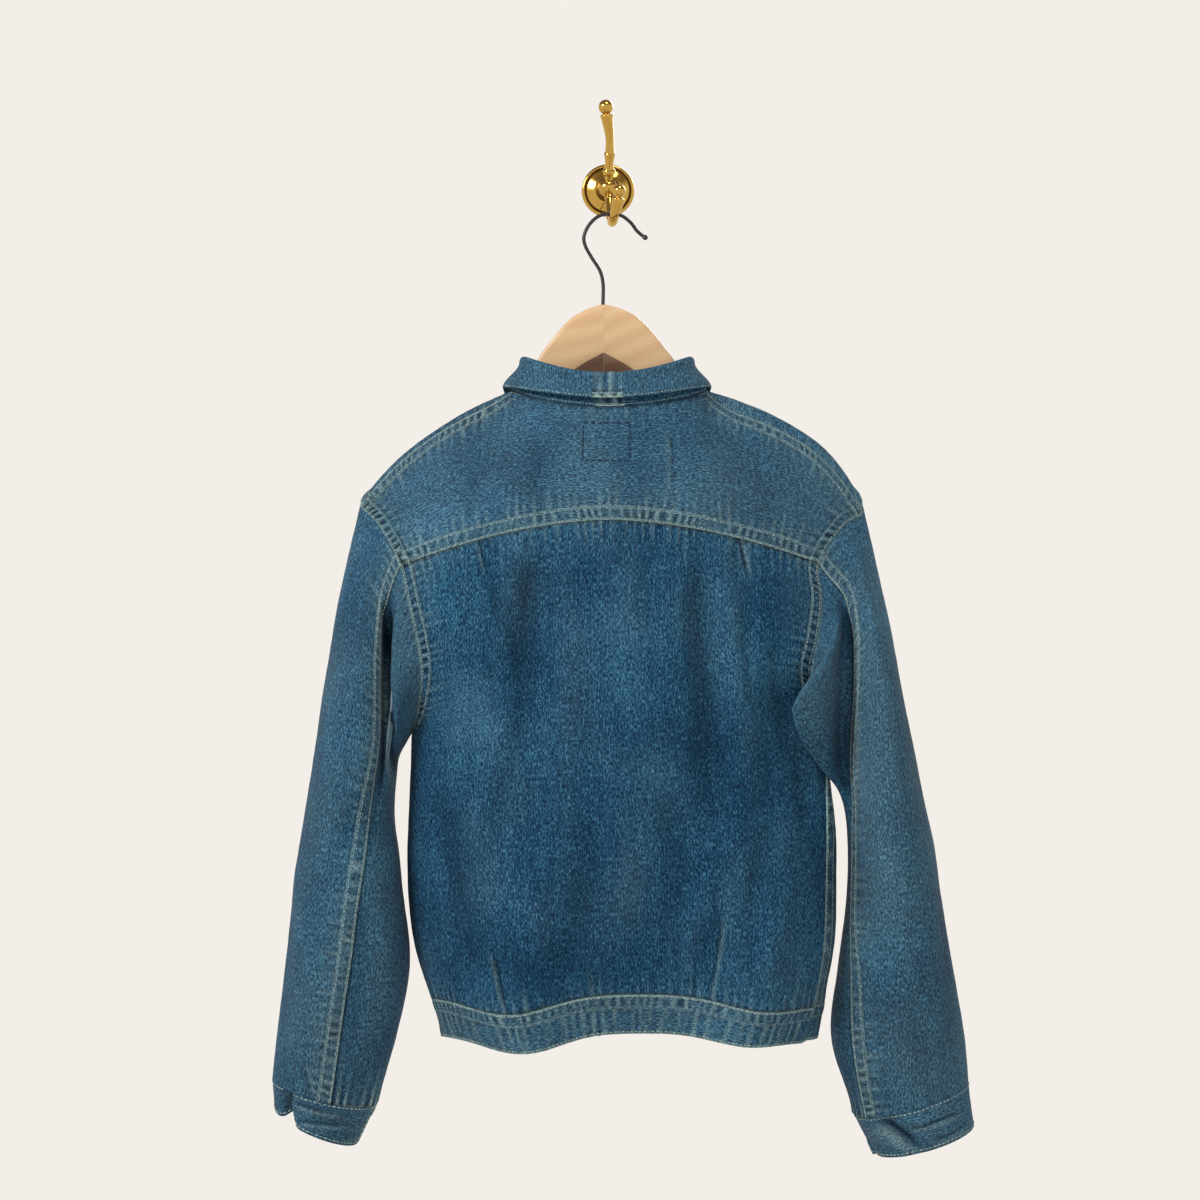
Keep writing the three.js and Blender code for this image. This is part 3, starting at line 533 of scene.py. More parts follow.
def frontBand(u, v):
    centre = frontCentreTop.lerp(frontCentreBottom, mix(buttonBand["top"], buttonBand["bottom"], v))
    return centre + Vector((buttonBand["width"] * (u - 0.5), buttonBand["lift"], 0))


# What the sewing does to the cloth beside a seam: band is the felled strip along it, lines
# are the stitch rows from its edge, and beyond the band the cloth gathers a little. All mm.
plainSeam = {"band": 0, "rise": 0, "pucker": 0, "pitch": 8, "lines": (), "gather": 0, "reach": 16,
             "fade": 0, "shade": 0, "under": 0, "from": -9, "to": 9, "blend": 0.03}


def seamOf(edge, **settings):
    return {**plainSeam, "edge": edge, **settings}


# Puckers come at an uneven pitch: a wave along the seam whose phase and height wander.
puckers = {"wanderSize": 23, "wander": 0.9, "swellSize": 17, "middle": 0.7, "swell": 1.1, "leanSize": 40,
           "lean": 1.6}


def puckerWave(along, pitch, seed):
    wander = noise.noise(Vector((along / puckers["wanderSize"], seed, 0.3)))
    swell = noise.noise(Vector((along / puckers["swellSize"], seed, 7.1)))
    height = puckers["middle"] + puckers["swell"] * swell
    return height * math.sin(2 * math.pi * (along / pitch + puckers["wander"] * wander))


# Gives the height, the wear and the painted shade that a seam adds at a place beside it. The band
# stands proud between soft edges, the threads sink in and high spots wear pale. Painted shade
# darkens the low spots of puckers and gathers, a line beside the band and the edge under the next piece.
sewn = {"edge": 0.6, "edgeSoft": 1.6, "rimBefore": 1.4, "rimSoft": 1.8, "between": 0.7, "gatherPitch": 1.2,
        "sink": 0.35, "sinkWidth": 0.9, "edgeWidth": 1.0, "bandWear": 0.05, "waveWear": 0.5, "farWear": 0.4,
        "bandDark": 0.15, "farDark": 0.5, "farDarkAt": 1.8, "farDarkWidth": 1.2, "gatherTone": 0.5,
        "underWidth": 2.2}


def seamRelief(seam, distance, along, seed):
    band, rise, reach = seam["band"], seam["rise"], seam["reach"]
    if distance > band + 5 * reach:
        return 0, 0, 0
    lean = puckers["lean"] * noise.noise(Vector((along / puckers["leanSize"], seed, 2.2)))
    wave = puckerWave(along + lean * distance / 3, seam["pitch"], seed)
    inBand = 1 - ease((distance - band + sewn["edge"]) / sewn["edgeSoft"]) if band else 0
    beyond = max(0, distance - band)
    fading = math.exp(-beyond / reach) * ease(beyond / 2) * (1 - inBand)
    gathered = puckerWave(along, seam["pitch"] * sewn["gatherPitch"], seed + 3.7)
    between = inBand * math.sin(math.pi * clamp(distance / max(band, 1))) ** sewn["between"]
    height = rise * inBand * ease((distance + sewn["rimBefore"]) / sewn["rimSoft"])
    height += seam["pucker"] * wave * between + seam["gather"] * gathered * fading
    height -= sum(sewn["sink"] * bell(distance - line, sewn["sinkWidth"]) for line in seam["lines"])
    wear = between * (sewn["bandWear"] + sewn["waveWear"] * max(0, wave)) + bell(distance, sewn["edgeWidth"])
    # Painted shade: over the band and its low puckers, in a line just beyond the band, in the low gathers,
    # and (with under) at the edge that lies beneath the next piece.
    dark = between * (sewn["bandDark"] + max(0, -wave))
    if band:
        wear += sewn["farWear"] * bell(distance - band, sewn["edgeWidth"])
        dark += sewn["farDark"] * bell(distance - band - sewn["farDarkAt"], sewn["farDarkWidth"])
    wear += sewn["gatherTone"] * max(0, gathered) * fading
    dark += sewn["gatherTone"] * max(0, -gathered) * fading
    shade = seam["shade"] * dark + seam["under"] * bell(distance, sewn["underWidth"])
    return height, seam["fade"] * wear, shade


# A crease or soft ridge between two places of the back view. A positive depth is a trough.
# A sharp one is a pressed fold: a line of painted shade with a worn edge on its left or right side.
# A soft trough gets painted shade, and a soft ridge a paler tone, part wear and part painted highlight.
creaseColumns = "x z toX toZ depth width sharp"
creaseAndPaintedShade = {"before": 0.2, "in": 0.35, "out": 0.6, "bend": 2.5, "bends": 5, "reach": 4, "line": 0.42,
           "edge": 0.5, "edgeWear": 0.25, "troughShade": 0.09, "troughWidth": 0.9, "ridgeWearAndHighlight": 0.008}


def creaseRelief(creases, x, z):
    height = wear = shade = 0
    for crease in creases:
        dx, dz = crease["toX"] - crease["x"], crease["toZ"] - crease["z"]
        length = math.hypot(dx, dz)
        along = ((x - crease["x"]) * dx + (z - crease["z"]) * dz) / length ** 2
        if not -creaseAndPaintedShade["before"] <= along <= 1 + creaseAndPaintedShade["before"]:
            continue
        width, depth, sharp = crease["width"], crease["depth"], crease["sharp"]
        across = ((x - crease["x"]) * dz - (z - crease["z"]) * dx) / length
        if not sharp:
            across += creaseAndPaintedShade["bend"] * math.sin(along * creaseAndPaintedShade["bends"] + crease["x"])
        if abs(across) > creaseAndPaintedShade["reach"] * width:
            continue
        ends = ease((along + creaseAndPaintedShade["before"]) / creaseAndPaintedShade["in"])
        ends *= ease((1 + creaseAndPaintedShade["before"] - along) / creaseAndPaintedShade["out"])
        height -= depth * ends * bell(across, width)
        if sharp:
            # The pressed fold's dark line is painted shade.
            shade += abs(sharp) * ends * bell(across, width * creaseAndPaintedShade["line"])
            beside = bell(across - math.copysign(width, sharp), width * creaseAndPaintedShade["edge"])
            wear += creaseAndPaintedShade["edgeWear"] * abs(sharp) * ends * beside
        # A trough takes painted shade. A ridge turns paler, part wear and part painted highlight.
        elif depth > 0:
            shade += creaseAndPaintedShade["troughShade"] * depth * ends * bell(across, width * creaseAndPaintedShade["troughWidth"])
        else:
            wear -= creaseAndPaintedShade["ridgeWearAndHighlight"] * depth * ends * bell(across, width)
    return height, wear, shade


# Colours are picked as sRGB hex and turned linear here.
def linear(colour):
    values = [int(colour[i:i + 2], 16) / 255 for i in (1, 3, 5)]
    return (*[c / 12.92 if c <= 0.04045 else ((c + 0.055) / 1.055) ** 2.4 for c in values], 1)


# Adds a node to a material: its settings by name, its inputs as values or as (node, output).
def addNode(material, kind, settings=None, inputs=None):
    node = material.node_tree.nodes.new(kind)
    for key, value in (settings or {}).items():
        setattr(node, key, value)
    for key, value in (inputs or {}).items():
        if isinstance(value, tuple) and isinstance(value[0], bpy.types.Node):
            material.node_tree.links.new(value[0].outputs[value[1]], node.inputs[key])
        else:
            node.inputs[key].default_value = value
    return node


def newMaterial(name):
    material = bpy.data.materials.new(name)
    material.use_nodes = True
    material.node_tree.nodes.clear()
    return material


# Mixes a colour into another by a factor.
def blendColour(material, factor, plain, other):
    node = addNode(material, "ShaderNodeMix", {"data_type": "RGBA"}, {
        "Factor": factor, "A": plain, "B": other})
    return node, "Result"


# Ends a material: relief from its pattern, a surface of the given kind, and the output.
def addSurface(material, height, strength, distance, surface):
    bump = addNode(material, "ShaderNodeBump", None, {
        "Height": height, "Strength": strength, "Distance": distance})
    shader = addNode(material, "ShaderNodeBsdfPrincipled", None, {**surface, "Normal": (bump, "Normal")})
    addNode(material, "ShaderNodeOutputMaterial", None, {"Surface": (shader, "BSDF")})
    return material


# Indigo denim, woven in a twill of dyed warp and white weft, then washed until the high
# spots paled. The eye sees grit of pale weft, streaks along the warp and pale, puckered seams.
# Real threads lie 0.4 mm apart and the twill's ribs 1 mm, too fine for the render, so the
# grit is drawn 1.2 mm wide and the faint ribs 6 mm apart.
# The look's darkest blue is painted shade, mixed in where the cloth's shade attribute is high.
denimLook = {
    "deep": "#04182b", "middle": "#143f5d", "light": "#477b97", "worn": "#a3c0ba", "creaseAndPaintedShade": "#051423",
    "inside": "#7f97a3", "insideShare": 0.72, "ribPitch": 5.938, "ribWeight": 0.35,
     "bump": 0.0004, "patch": {"size": 95, "weight": 0.7},
    "weave": {"grit": {"width": 1.2, "length": 3.2, "weight": 2.4},
              "streak": {"width": 1.5, "length": 13, "weight": 1.0},
              "slub": {"width": 7, "length": 80, "weight": 0.35}},
}


# Scales that give a noise or a wave texture its real size. A wave texture has ten radians to
# the unit along each axis in its diagonal bands, and twenty in its straight ones.
def patternScale(sizeMm):
    return 1 / (sizeMm * millimetre)


def waveScale(pitchMm, radiansToUnit):
    return 2 * math.pi * patternScale(pitchMm) / radiansToUnit


def washedDenim(name, look, face):
    material = newMaterial(name)
    threads = addNode(material, "ShaderNodeUVMap", {"uv_map": "weave"})
    place = addNode(material, "ShaderNodeTexCoord")
    patches = addNode(material, "ShaderNodeTexNoise", None, {
        "Vector": (place, "Object"), "Scale": patternScale(look["patch"]["size"]), "Detail": 3.0,
        "Roughness": 0.5})
    weights = look["patch"]["weight"]
    total = addNode(material, "ShaderNodeMath", {"operation": "MULTIPLY"}, {0: (patches, "Fac"), 1: weights})
    for kind, grain in look["weave"].items():
        scale = (patternScale(grain["width"]), patternScale(grain["length"]), 1)
        stretched = addNode(material, "ShaderNodeMapping", None, {"Vector": (threads, "UV"), "Scale": scale})
        cloud = addNode(material, "ShaderNodeTexNoise", None, {
            "Vector": (stretched, "Vector"), "Scale": 1.0, "Detail": 2.0, "Roughness": 0.7})
        total = addNode(material, "ShaderNodeMath", {"operation": "MULTIPLY_ADD"}, {
            0: (cloud, "Fac"), 1: grain["weight"], 2: (total, "Value")})
        weights += grain["weight"]
        if kind == "grit":
            grit = cloud
    tone = addNode(material, "ShaderNodeMapRange", None, {
        "Value": (total, "Value"), "From Min": (weights - 1) / 2, "From Max": (weights + 1) / 2})
    colour = addNode(material, "ShaderNodeValToRGB", None, {"Fac": (tone, "Result")})
    ramp = colour.color_ramp
    ramp.elements[0].color = linear(look["deep"])
    ramp.elements[1].color = linear(look["light"])
    ramp.elements.new(0.5).color = linear(look["middle"])
    if face == "inside":
        result = blendColour(material, look["insideShare"], (colour, "Color"), linear(look["inside"]))
    else:
        wear = addNode(material, "ShaderNodeAttribute", {"attribute_name": "wear"})
        rough = addNode(material, "ShaderNodeMapRange", None, {
            "Value": (grit, "Fac"), "From Min": 0.3, "From Max": 0.7, "To Min": 0.25, "To Max": 1.6})
        worn = addNode(material, "ShaderNodeMath", {"operation": "MULTIPLY", "use_clamp": True}, {
            0: (wear, "Fac"), 1: (rough, "Result")})
        faded = blendColour(material, (worn, "Value"), (colour, "Color"), linear(look["worn"]))
        # Painted shade: the near-black blue, mixed in by the shade attribute.
        shade = addNode(material, "ShaderNodeAttribute", {"attribute_name": "shade"})
        result = blendColour(material, (shade, "Fac"), faded, linear(look["creaseAndPaintedShade"]))
    ribs = addNode(material, "ShaderNodeTexWave", {"bands_direction": "DIAGONAL"}, {
        "Vector": (threads, "UV"), "Scale": waveScale(look["ribPitch"], 10), "Distortion": 1.5})
    relief = addNode(material, "ShaderNodeMath", {"operation": "MULTIPLY_ADD"}, {
        0: (ribs, "Fac"), 1: look["ribWeight"], 2: (grit, "Fac")})
    return addSurface(material, (relief, "Value"), 0.6, look["bump"], {
        "Base Color": result, "Roughness": 0.9, "Specular IOR Level": 0.12, "Sheen Weight": 0.04,
        "Sheen Roughness": 0.45})


denimOutside = washedDenim("washed_indigo_denim", denimLook, "outside")
denimInside = washedDenim("indigo_denim_weft_side", denimLook, "inside")


# Cotton topstitching thread, twisted from three plies: pale, dull, with fine diagonal ribs.
# The plies are 0.3 mm wide, too fine for the render. They are drawn as a slow change of tone,
# 6.3 mm long, so that one stitch is a little paler than the next.
threadLook = {"colour": "#a7bab2", "shadow": "#6b8385", "plyPitch": 6.333}


def cottonThread(name, look):
    material = newMaterial(name)
    place = addNode(material, "ShaderNodeTexCoord")
    plies = addNode(material, "ShaderNodeTexWave", {"bands_direction": "DIAGONAL"}, {
        "Vector": (place, "Object"), "Scale": waveScale(look["plyPitch"], 10), "Distortion": 2.0})
    colour = blendColour(material, (plies, "Fac"), linear(look["shadow"]), linear(look["colour"]))
    return addSurface(material, (plies, "Fac"), 0.5, 0.0002, {
        "Base Color": colour, "Roughness": 0.75, "Specular IOR Level": 0.3})


paleThread = cottonThread("pale_cotton_thread", threadLook)
darkThread = cottonThread("blue_cotton_thread", {**threadLook, "colour": "#16324a", "shadow": "#0a1a2a"})


# Puts a finished mesh in the scene, with its materials and what it stands for.
def addPiece(name, bm, materials, replaced=()):
    mesh = bpy.data.meshes.new(name)
    bm.to_mesh(mesh)
    bm.free()
    piece = bpy.data.objects.new(name, mesh)
    for material in materials:
        mesh.materials.append(material)
    bpy.context.scene.collection.objects.link(piece)
    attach(piece, "root")
    if replaced:
        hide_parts(*replaced)
    return piece


cloth = {"wall": 1.6, "softness": 0.9, "softSize": 46, "softDrop": 0.55, "fine": 0.22, "fineSize": 11,
         "margin": 14, "softWear": 0.04}
panels = {}


# Running lengths along the rows or down the columns of a grid of points, in millimetres.
def arcLengths(points, down):
    if down:
        columns = [arcLengths([[row[i] for row in points]], False)[0] for i in range(len(points[0]))]
        return [[columns[i][j] for i in range(len(points[0]))] for j in range(len(points))]
    lengths = []
    for row in points:
        total = [0]
        for a, b in zip(row, row[1:]):
            total.append(total[-1] + (b - a).length)
        lengths.append(total)
    return lengths


# A cloth panel on a grid: the plain form, then the sewing's and the folds' relief on it.
def clothPanel(name, surface, us, vs, inside, seams=(), creases=(), grain="down", softness=1.0,
               faded=0.06, wall=cloth["wall"]):
    columns, count = len(us), len(vs)
    base = [[surface(u, v) for u in us] for v in vs]
    across, down = arcLengths(base, False), arcLengths(base, True)
    middleRow, middleColumn = [row[columns // 2] for row in across], down[count // 2]
    seed = sum(ord(letter) for letter in name) * 0.37
    normals = [[None] * columns for _ in range(count)]
    facing = 0
    for j in range(count):
        for i in range(columns):
            along = base[j][min(columns - 1, i + 1)] - base[j][max(0, i - 1)]
            below = base[min(count - 1, j + 1)][i] - base[max(0, j - 1)][i]
            normals[j][i] = along.cross(below).normalized()
            facing += normals[j][i].dot(base[j][i] - inside(base[j][i]))
    turned = facing < 0
    bm = bmesh.new()
    bmesh.ops.create_grid(bm, x_segments=columns - 1, y_segments=count - 1, size=1)
    uvLayer = bm.loops.layers.uv.new("weave")
    wearLayer = bm.verts.layers.float.new("wear")
    # shade holds painted shade, from the seams and the creases.
    shadeLayer = bm.verts.layers.float.new("shade")
    points = [[None] * columns for _ in range(count)]
    places = {}
    for vert in bm.verts:
        i = round((vert.co.x + 1) / 2 * (columns - 1))
        j = round((vert.co.y + 1) / 2 * (count - 1))
        point = base[j][i]
        normal = -normals[j][i] if turned else normals[j][i]
        normals[j][i] = normal
        edges = {"left": across[j][i], "right": across[j][-1] - across[j][i],
                 "top": down[j][i], "bottom": down[-1][i] - down[j][i]}
        height, wear, shade = 0, faded, 0
        for k, seam in enumerate(seams):
            running = {"top": across[0][i], "bottom": across[-1][i], "left": down[j][0], "right": down[j][-1]}
            place = us[i] if seam["edge"] in ("top", "bottom") else vs[j]
            share = ease((place - seam["from"]) / seam["blend"]) * ease((seam["to"] - place) / seam["blend"])
            if share > 0:
                h, w, s = seamRelief(seam, edges[seam["edge"]], running[seam["edge"]], seed + k)
                height, wear, shade = height + share * h, wear + share * w, shade + share * s
        h, w, s = creaseRelief(creases, point.x, point.z)
        height, wear, shade = height + h, wear + w, shade + s
        place = Vector((point.x, point.y, point.z * cloth["softDrop"]))
        soft = noise.noise(place / cloth["softSize"] + Vector((seed, 0, 0)))
        fine = noise.noise(Vector((point.x, point.y, point.z)) / cloth["fineSize"])
        margin = ease(min(edges.values()) / cloth["margin"])
        height += (softness * cloth["softness"] * soft + cloth["fine"] * fine) * margin
        wear += cloth["softWear"] * soft * softness
        points[j][i] = point + normal * height
        vert.co = points[j][i] * millimetre
        vert[wearLayer] = clamp(wear)
        vert[shadeLayer] = clamp(shade)
        places[vert.index] = (across[j][i] - middleRow[j], down[j][i] - middleColumn[i])
    for face in bm.faces:
        for loop in face.loops:
            alongRow, downColumn = places[loop.vert.index]
            place = (alongRow, downColumn) if grain == "down" else (downColumn, alongRow)
            loop[uvLayer].uv = Vector(place) * millimetre
        face.smooth = True
    if turned:
        bmesh.ops.reverse_faces(bm, faces=bm.faces)
    piece = addPiece(f"{name}_cloth", bm, (denimOutside, denimInside), (name,))
    shell = piece.modifiers.new("wall", "SOLIDIFY")
    shell.thickness = wall * millimetre
    shell.offset = -1
    shell.material_offset = 1
    shell.material_offset_rim = 0
    panels[name] = {"piece": piece, "points": points, "normals": normals, "left": across,
                    "right": [[row[-1] - a for a in row] for row in across],
                    "top": down, "bottom": [[down[-1][i] - d for i, d in enumerate(row)] for row in down],
                    "area": sum((points[j][i + 1] - points[j][i]).cross(points[j + 1][i] - points[j][i])
                                .length for j in range(count - 1) for i in range(columns - 1)) / 1e6}
    print("cloth panel", name, len(piece.data.vertices), "points")


# Steps from one end to the other, closer together within a margin beside either end.
def seamSteps(start, end, middle, edgeStart=0, edgeEnd=0, margin=0.1):
    steps = spread(0, 1, middle)
    clear = margin + 0.4 / middle
    if edgeStart:
        steps = spread(0, margin, edgeStart) + [s for s in steps if s > clear]
    if edgeEnd:
        steps = [s for s in steps if s < 1 - clear] + spread(1 - margin, 1, edgeEnd)
    return [mix(start, end, s) for s in steps]


# Places inside the hollow cloth, level with a point, that tell a panel which way is out.
hollows = {"bodyX": 10, "y": -60, "sleeveX": 205, "sleeveTop": -300, "sleeveLean": 0.1, "collarX": 0,
           "behindBand": -50}


def bodyInside(point):
    return Vector((hollows["bodyX"], hollows["y"], point.z))


# The felled seams and gathers, by panel. Their shade and under are amounts of painted shade.
felled = {"band": 12, "rise": 0.9, "pucker": 0.5, "pitch": 7.6, "lines": (1.6, 10.6), "gather": 0.3,
          "reach": 9, "fade": 0.6, "shade": 0.5}
neckEdge = {"gather": 0.25, "reach": 9, "fade": 0.25, "shade": 0.3, "under": 0.8, "pitch": 9}
armholeSeam = {"band": 10, "rise": 0.7, "pucker": 0.9, "pitch": 7.0, "lines": (2.0,), "gather": 0.5,
               "fade": 0.5, "shade": 0.85, "reach": 10}
gathered = {"pitch": 7.5, "gather": 0.8, "reach": 11, "fade": 0.45, "shade": 0.5, "under": 0.75}
# In these tables a sharp crease is a line of painted shade, a soft trough takes painted shade, and a soft
# ridge a paler tone that is part wear and part painted highlight.
backCreases = rows(creaseColumns, [
    (-114, -329, -106, -357, 1.6, 3.0, 0.8), (-108, -350, -94, -402, 2.0, 6, 0),
    (115, -327, 122, -360, 1.6, 3.0, -0.85), (121, -352, 126, -470, 1.8, 7, 0),
    (63, -330, 66, -352, 1.0, 2.6, -0.35), (-99, -692, -86, -748, 2.2, 3.4, 0.75),
    (-112, -640, -98, -700, 1.6, 7, 0), (97, -664, 88, -726, 2.0, 3.2, -0.7),
    (102, -610, 96, -670, 1.4, 6, 0), (-66, -345, -80, -480, 5.0, 13, 0),
    (-80, -480, -98, -600, 3.6, 12, 0), (79, -345, 92, -560, 5.0, 12, 0),
    (164, -510, 182, -600, 3.4, 9, 0), (-38, -350, -36, -560, -4.0, 13, 0),
    (20, -340, 22, -440, -2.4, 14, 0), (112, -380, 124, -560, -3.6, 12, 0),
    (-138, -400, -132, -520, -3.0, 13, 0), (148, -420, 158, -520, 2.6, 9, 0),
    (-150, -560, -118, -700, 3.6, 12, 0), (-120, -560, -96, -660, -2.8, 11, 0),
    (50, -560, 62, -690, 3.0, 12, 0), (-20, -580, -28, -700, 2.8, 13, 0),
    (12, -560, 18, -690, -3.0, 14, 0), (134, -590, 118, -705, 3.2, 9, 0),
    (152, -640, 140, -725, -2.6, 10, 0), (-60, -640, -56, -720, -2.4, 12, 0),
    (98, -620, 90, -670, 2.0, 4, 0), (76, -640, 70, -722, -2.2, 8, 0)])
waistCreases = rows(creaseColumns, [
    (-128, -768, -60, -776, 1.2, 3.4, 0.25), (-50, -770, 30, -760, 1.2, 3.2, 0.2),
    (40, -758, 118, -770, 1.2, 3.4, 0.25), (120, -772, 176, -768, 1.4, 3.6, 0.3),
    (-20, -750, 60, -748, -0.8, 3, 0)])
yokeCreases = rows(creaseColumns, [
    (56, -234, 57, -262, 1.0, 3.4, 0.5), (57, -262, 58, -300, 0.9, 3.8, 0.3),
    (-60, -246, -66, -312, 2.4, 11, 0), (-30, -240, -34, -300, -1.6, 14, 0),
    (-120, -262, -132, -318, 1.6, 10, 0), (96, -250, 104, -306, -1.4, 12, 0),
    (132, -262, 146, -318, 1.6, 9, 0), (14, -215, 18, -300, 0.9, 16, 0)])

clothPanel("back_yoke", yoke, seamSteps(-1, 1, 296, 14, 14, 0.03), seamSteps(0, 1, 66, 14, 14, 0.12),
           bodyInside,
           [seamOf("bottom", **felled), seamOf("top", **{**felled, "band": 11, "to": -jacket["neckShare"]}),
            seamOf("top", **{**felled, "band": 11, "from": jacket["neckShare"]}),
            seamOf("top", **{**neckEdge, "from": -jacket["neckShare"], "to": jacket["neckShare"]}),
            seamOf("left", **armholeSeam), seamOf("right", **armholeSeam)],
           yokeCreases, grain="across", softness=0.8, faded=0.05)
clothPanel("back_body", backBody, spread(-1, 1, 280),
           [*spread(0, 0.08, 20), *spread(0.086, 0.44, 70), *spread(0.456, 0.9, 32), *spread(0.91, 1, 20)],
           bodyInside, [seamOf("top", **gathered), seamOf("bottom", **gathered),
                        seamOf("left", **armholeSeam, to=0.46, blend=0.12),
                        seamOf("right", **armholeSeam, to=0.42, blend=0.12)],
           backCreases, faded=0)
for side in shoulders:
    clothPanel(f"front_{side}", lambda u, v, side=side: front(side, u, v), seamSteps(0, 1, 110, 0, 14, 0.08),
               [*spread(0, 0.16, 20), *spread(0.17, 0.54, 50), *spread(0.55, 1, 44)], bodyInside,
               [seamOf("right", **{**felled, "pucker": 0.4}), seamOf("bottom", **gathered),
                seamOf("top", gather=0.2, fade=0.3)], softness=1.4)
clothPanel("waistband", waistband, spread(-1.9994, 1.9994, 620), spread(0, 1, 20), bodyInside,
           [seamOf("top", band=11, rise=0.3, pucker=0.4, pitch=8.2, lines=(1.6,), fade=0.6, shade=0.45),
            seamOf("bottom", gather=0.3, pitch=9, reach=9, fade=0.55, shade=0.3, lines=(2.0,))],
           waistCreases, grain="across", wall=2.4, softness=0.5, faded=0.04)


def collarInside(point):
    return Vector((hollows["collarX"], jacket["hangerY"], point.z))


opening, leafEnd = collar["opening"], collar["leafEnd"]
clothPanel("collar_stand", collarStand, spread(-opening, opening, 260), spread(0, 1, 16), collarInside,
           [seamOf("top", band=11, rise=0.3, pucker=0.5, pitch=8.5, lines=(2.0,), fade=0.8, shade=0.6),
            seamOf("bottom", fade=0.4, gather=0.2, reach=6)],
           grain="across", softness=0.2, faded=0.02)
clothPanel("collar_leaf", collarLeaf, spread(-leafEnd, leafEnd, 280),
           [*spread(0, 0.4, 10), *spread(0.43, 1, 18)], collarInside,
           [seamOf("bottom", band=4, rise=0.4, pucker=0.2, pitch=8.5, lines=(1.7,), gather=1.1, reach=18,
                   fade=1.1, shade=1.0),
            seamOf("top", gather=0.6, reach=12, pitch=9, fade=0.7, shade=0.5)], softness=0.3, faded=0.06)


def sleeveInside(side):
    out = shoulders[side]["out"]
    return lambda point: Vector((
        out * (hollows["sleeveX"] + (hollows["sleeveTop"] - point.z) * hollows["sleeveLean"]),
        hollows["y"], point.z))


underPoints = [*spread(2, 3.2, 26), *spread(3.26, 5.2, 34), *spread(5.3, 9.5, 44)]
upperPoints = [*spread(9.5, 13, 66), *spread(13.05, 15.4, 56), *spread(15.43, 16, 22)]
sleeveLengths = [*spread(0, 0.05, 12), *spread(0.056, 0.95, 118), *spread(0.954, 1, 14)]
sleeveHead = {"pitch": 8, "gather": 0.6, "reach": 10, "fade": 0.4, "shade": 0.4}
sleeveEnd = {"pitch": 8, "gather": 1.3, "reach": 13, "fade": 1.3, "shade": 1.1, "under": 0.8}
# Sharp rows paint shade into the deep valleys by the sleeves' inner sides and into the cuffs' folds.
sleeveCreases = {
    "left": rows(creaseColumns, [
        (-262, -420, -280, -600, 2.4, 14, 0), (-244, -520, -258, -700, -1.8, 13, 0),
        (-285, -650, -294, -780, 2.0, 9, 0), (-196, -600, -200, -735, -4, 17, 0),
        (-232, -700, -246, -800, 2.0, 9, 0), (-214, -660, -226, -790, 2.2, 9, 0),
        (-262, -700, -276, -800, -1.6, 9, 0), (-270, -795, -262, -822, 2.0, 4, -0.3),
        (-198, -385, -195, -470, 3.0, 5, 0.9), (-195, -460, -188, -545, 3.0, 5.5, 0.9)]),
    "right": rows(creaseColumns, [
        (262, -420, 282, -620, 2.2, 14, 0), (240, -420, 258, -700, -3.2, 18, 0),
        (298, -620, 314, -790, 3.0, 15, 0), (268, -740, 282, -820, 1.8, 8, 0),
        (284, -640, 296, -760, -2.0, 10, 0), (240, -790, 252, -835, 1.6, 5, 0),
        (216, -400, 217, -560, 2.0, 4, -0.6)]),
}
cuffCreases = {
    "left": rows(creaseColumns, [
        (-287, -812, -282, -850, 8, 4.5, 0), (-286, -816, -282, -846, 1, 2.4, 0.6),
        (-276, -826, -242, -836, 2.0, 3, 0.8), (-270, -842, -232, -846, 1.6, 3, 0.7),
        (-262, -834, -236, -842, -1.4, 3, -0.6)]),
    "right": rows(creaseColumns, [
        (244, -844, 276, -864, 8.0, 7, 1.0), (236, -850, 262, -872, -3.0, 5, 0),
        (272, -832, 284, -848, -2.4, 5, 0), (270, -846, 316, -834, 2.0, 3, 0.8),
        (262, -838, 290, -848, -1.6, 4, 0), (290, -858, 322, -846, 1.4, 3.4, 0.6)]),
}
for side in shoulders:
    shape = lambda u, v, side=side: sleeveShape(side, u, v)
    clothPanel(f"sleeve_{side}_under", shape, underPoints, sleeveLengths, sleeveInside(side),
               [seamOf("top", **sleeveHead), seamOf("bottom", **sleeveEnd), seamOf("left", under=0.7)],
               sleeveCreases[side], softness=1.4, faded=0.04)
    clothPanel(f"sleeve_{side}_upper", shape, upperPoints, sleeveLengths, sleeveInside(side),
               [seamOf("right", **felled), seamOf("left", **{**felled, "pucker": 0.4}),
                seamOf("top", **sleeveHead), seamOf("bottom", **sleeveEnd)],
               sleeveCreases[side], softness=1.4, faded=0.05)
    clothPanel(f"cuff_{side}", lambda u, v, side=side: cuff(side, u, v), spread(6.4, 20.2, 170),
               spread(0, 1, 20), sleeveInside(side),
               [seamOf("top", band=13, rise=0.4, pucker=0.8, pitch=7.4, lines=(1.6,), fade=0.75, shade=0.75),
                seamOf("bottom", gather=0.4, pitch=9, reach=9, lines=(2.5,), fade=0.55, shade=0.3),
                seamOf("left", lines=(2.5,), fade=0.5), seamOf("right", lines=(2.5,), fade=0.5)],
               cuffCreases[side], grain="across", wall=2.4, softness=0.8, faded=0.05)
clothPanel("front_band", frontBand, spread(0, 1, 18), spread(0, 1, 170),
           lambda point: point + Vector((0, hollows["behindBand"], 0)),
           [seamOf("left", lines=(2.5,), pucker=0.2, gather=0.2, fade=0.4),
            seamOf("right", lines=(2.5,), gather=0.2, fade=0.4)], softness=0.3)


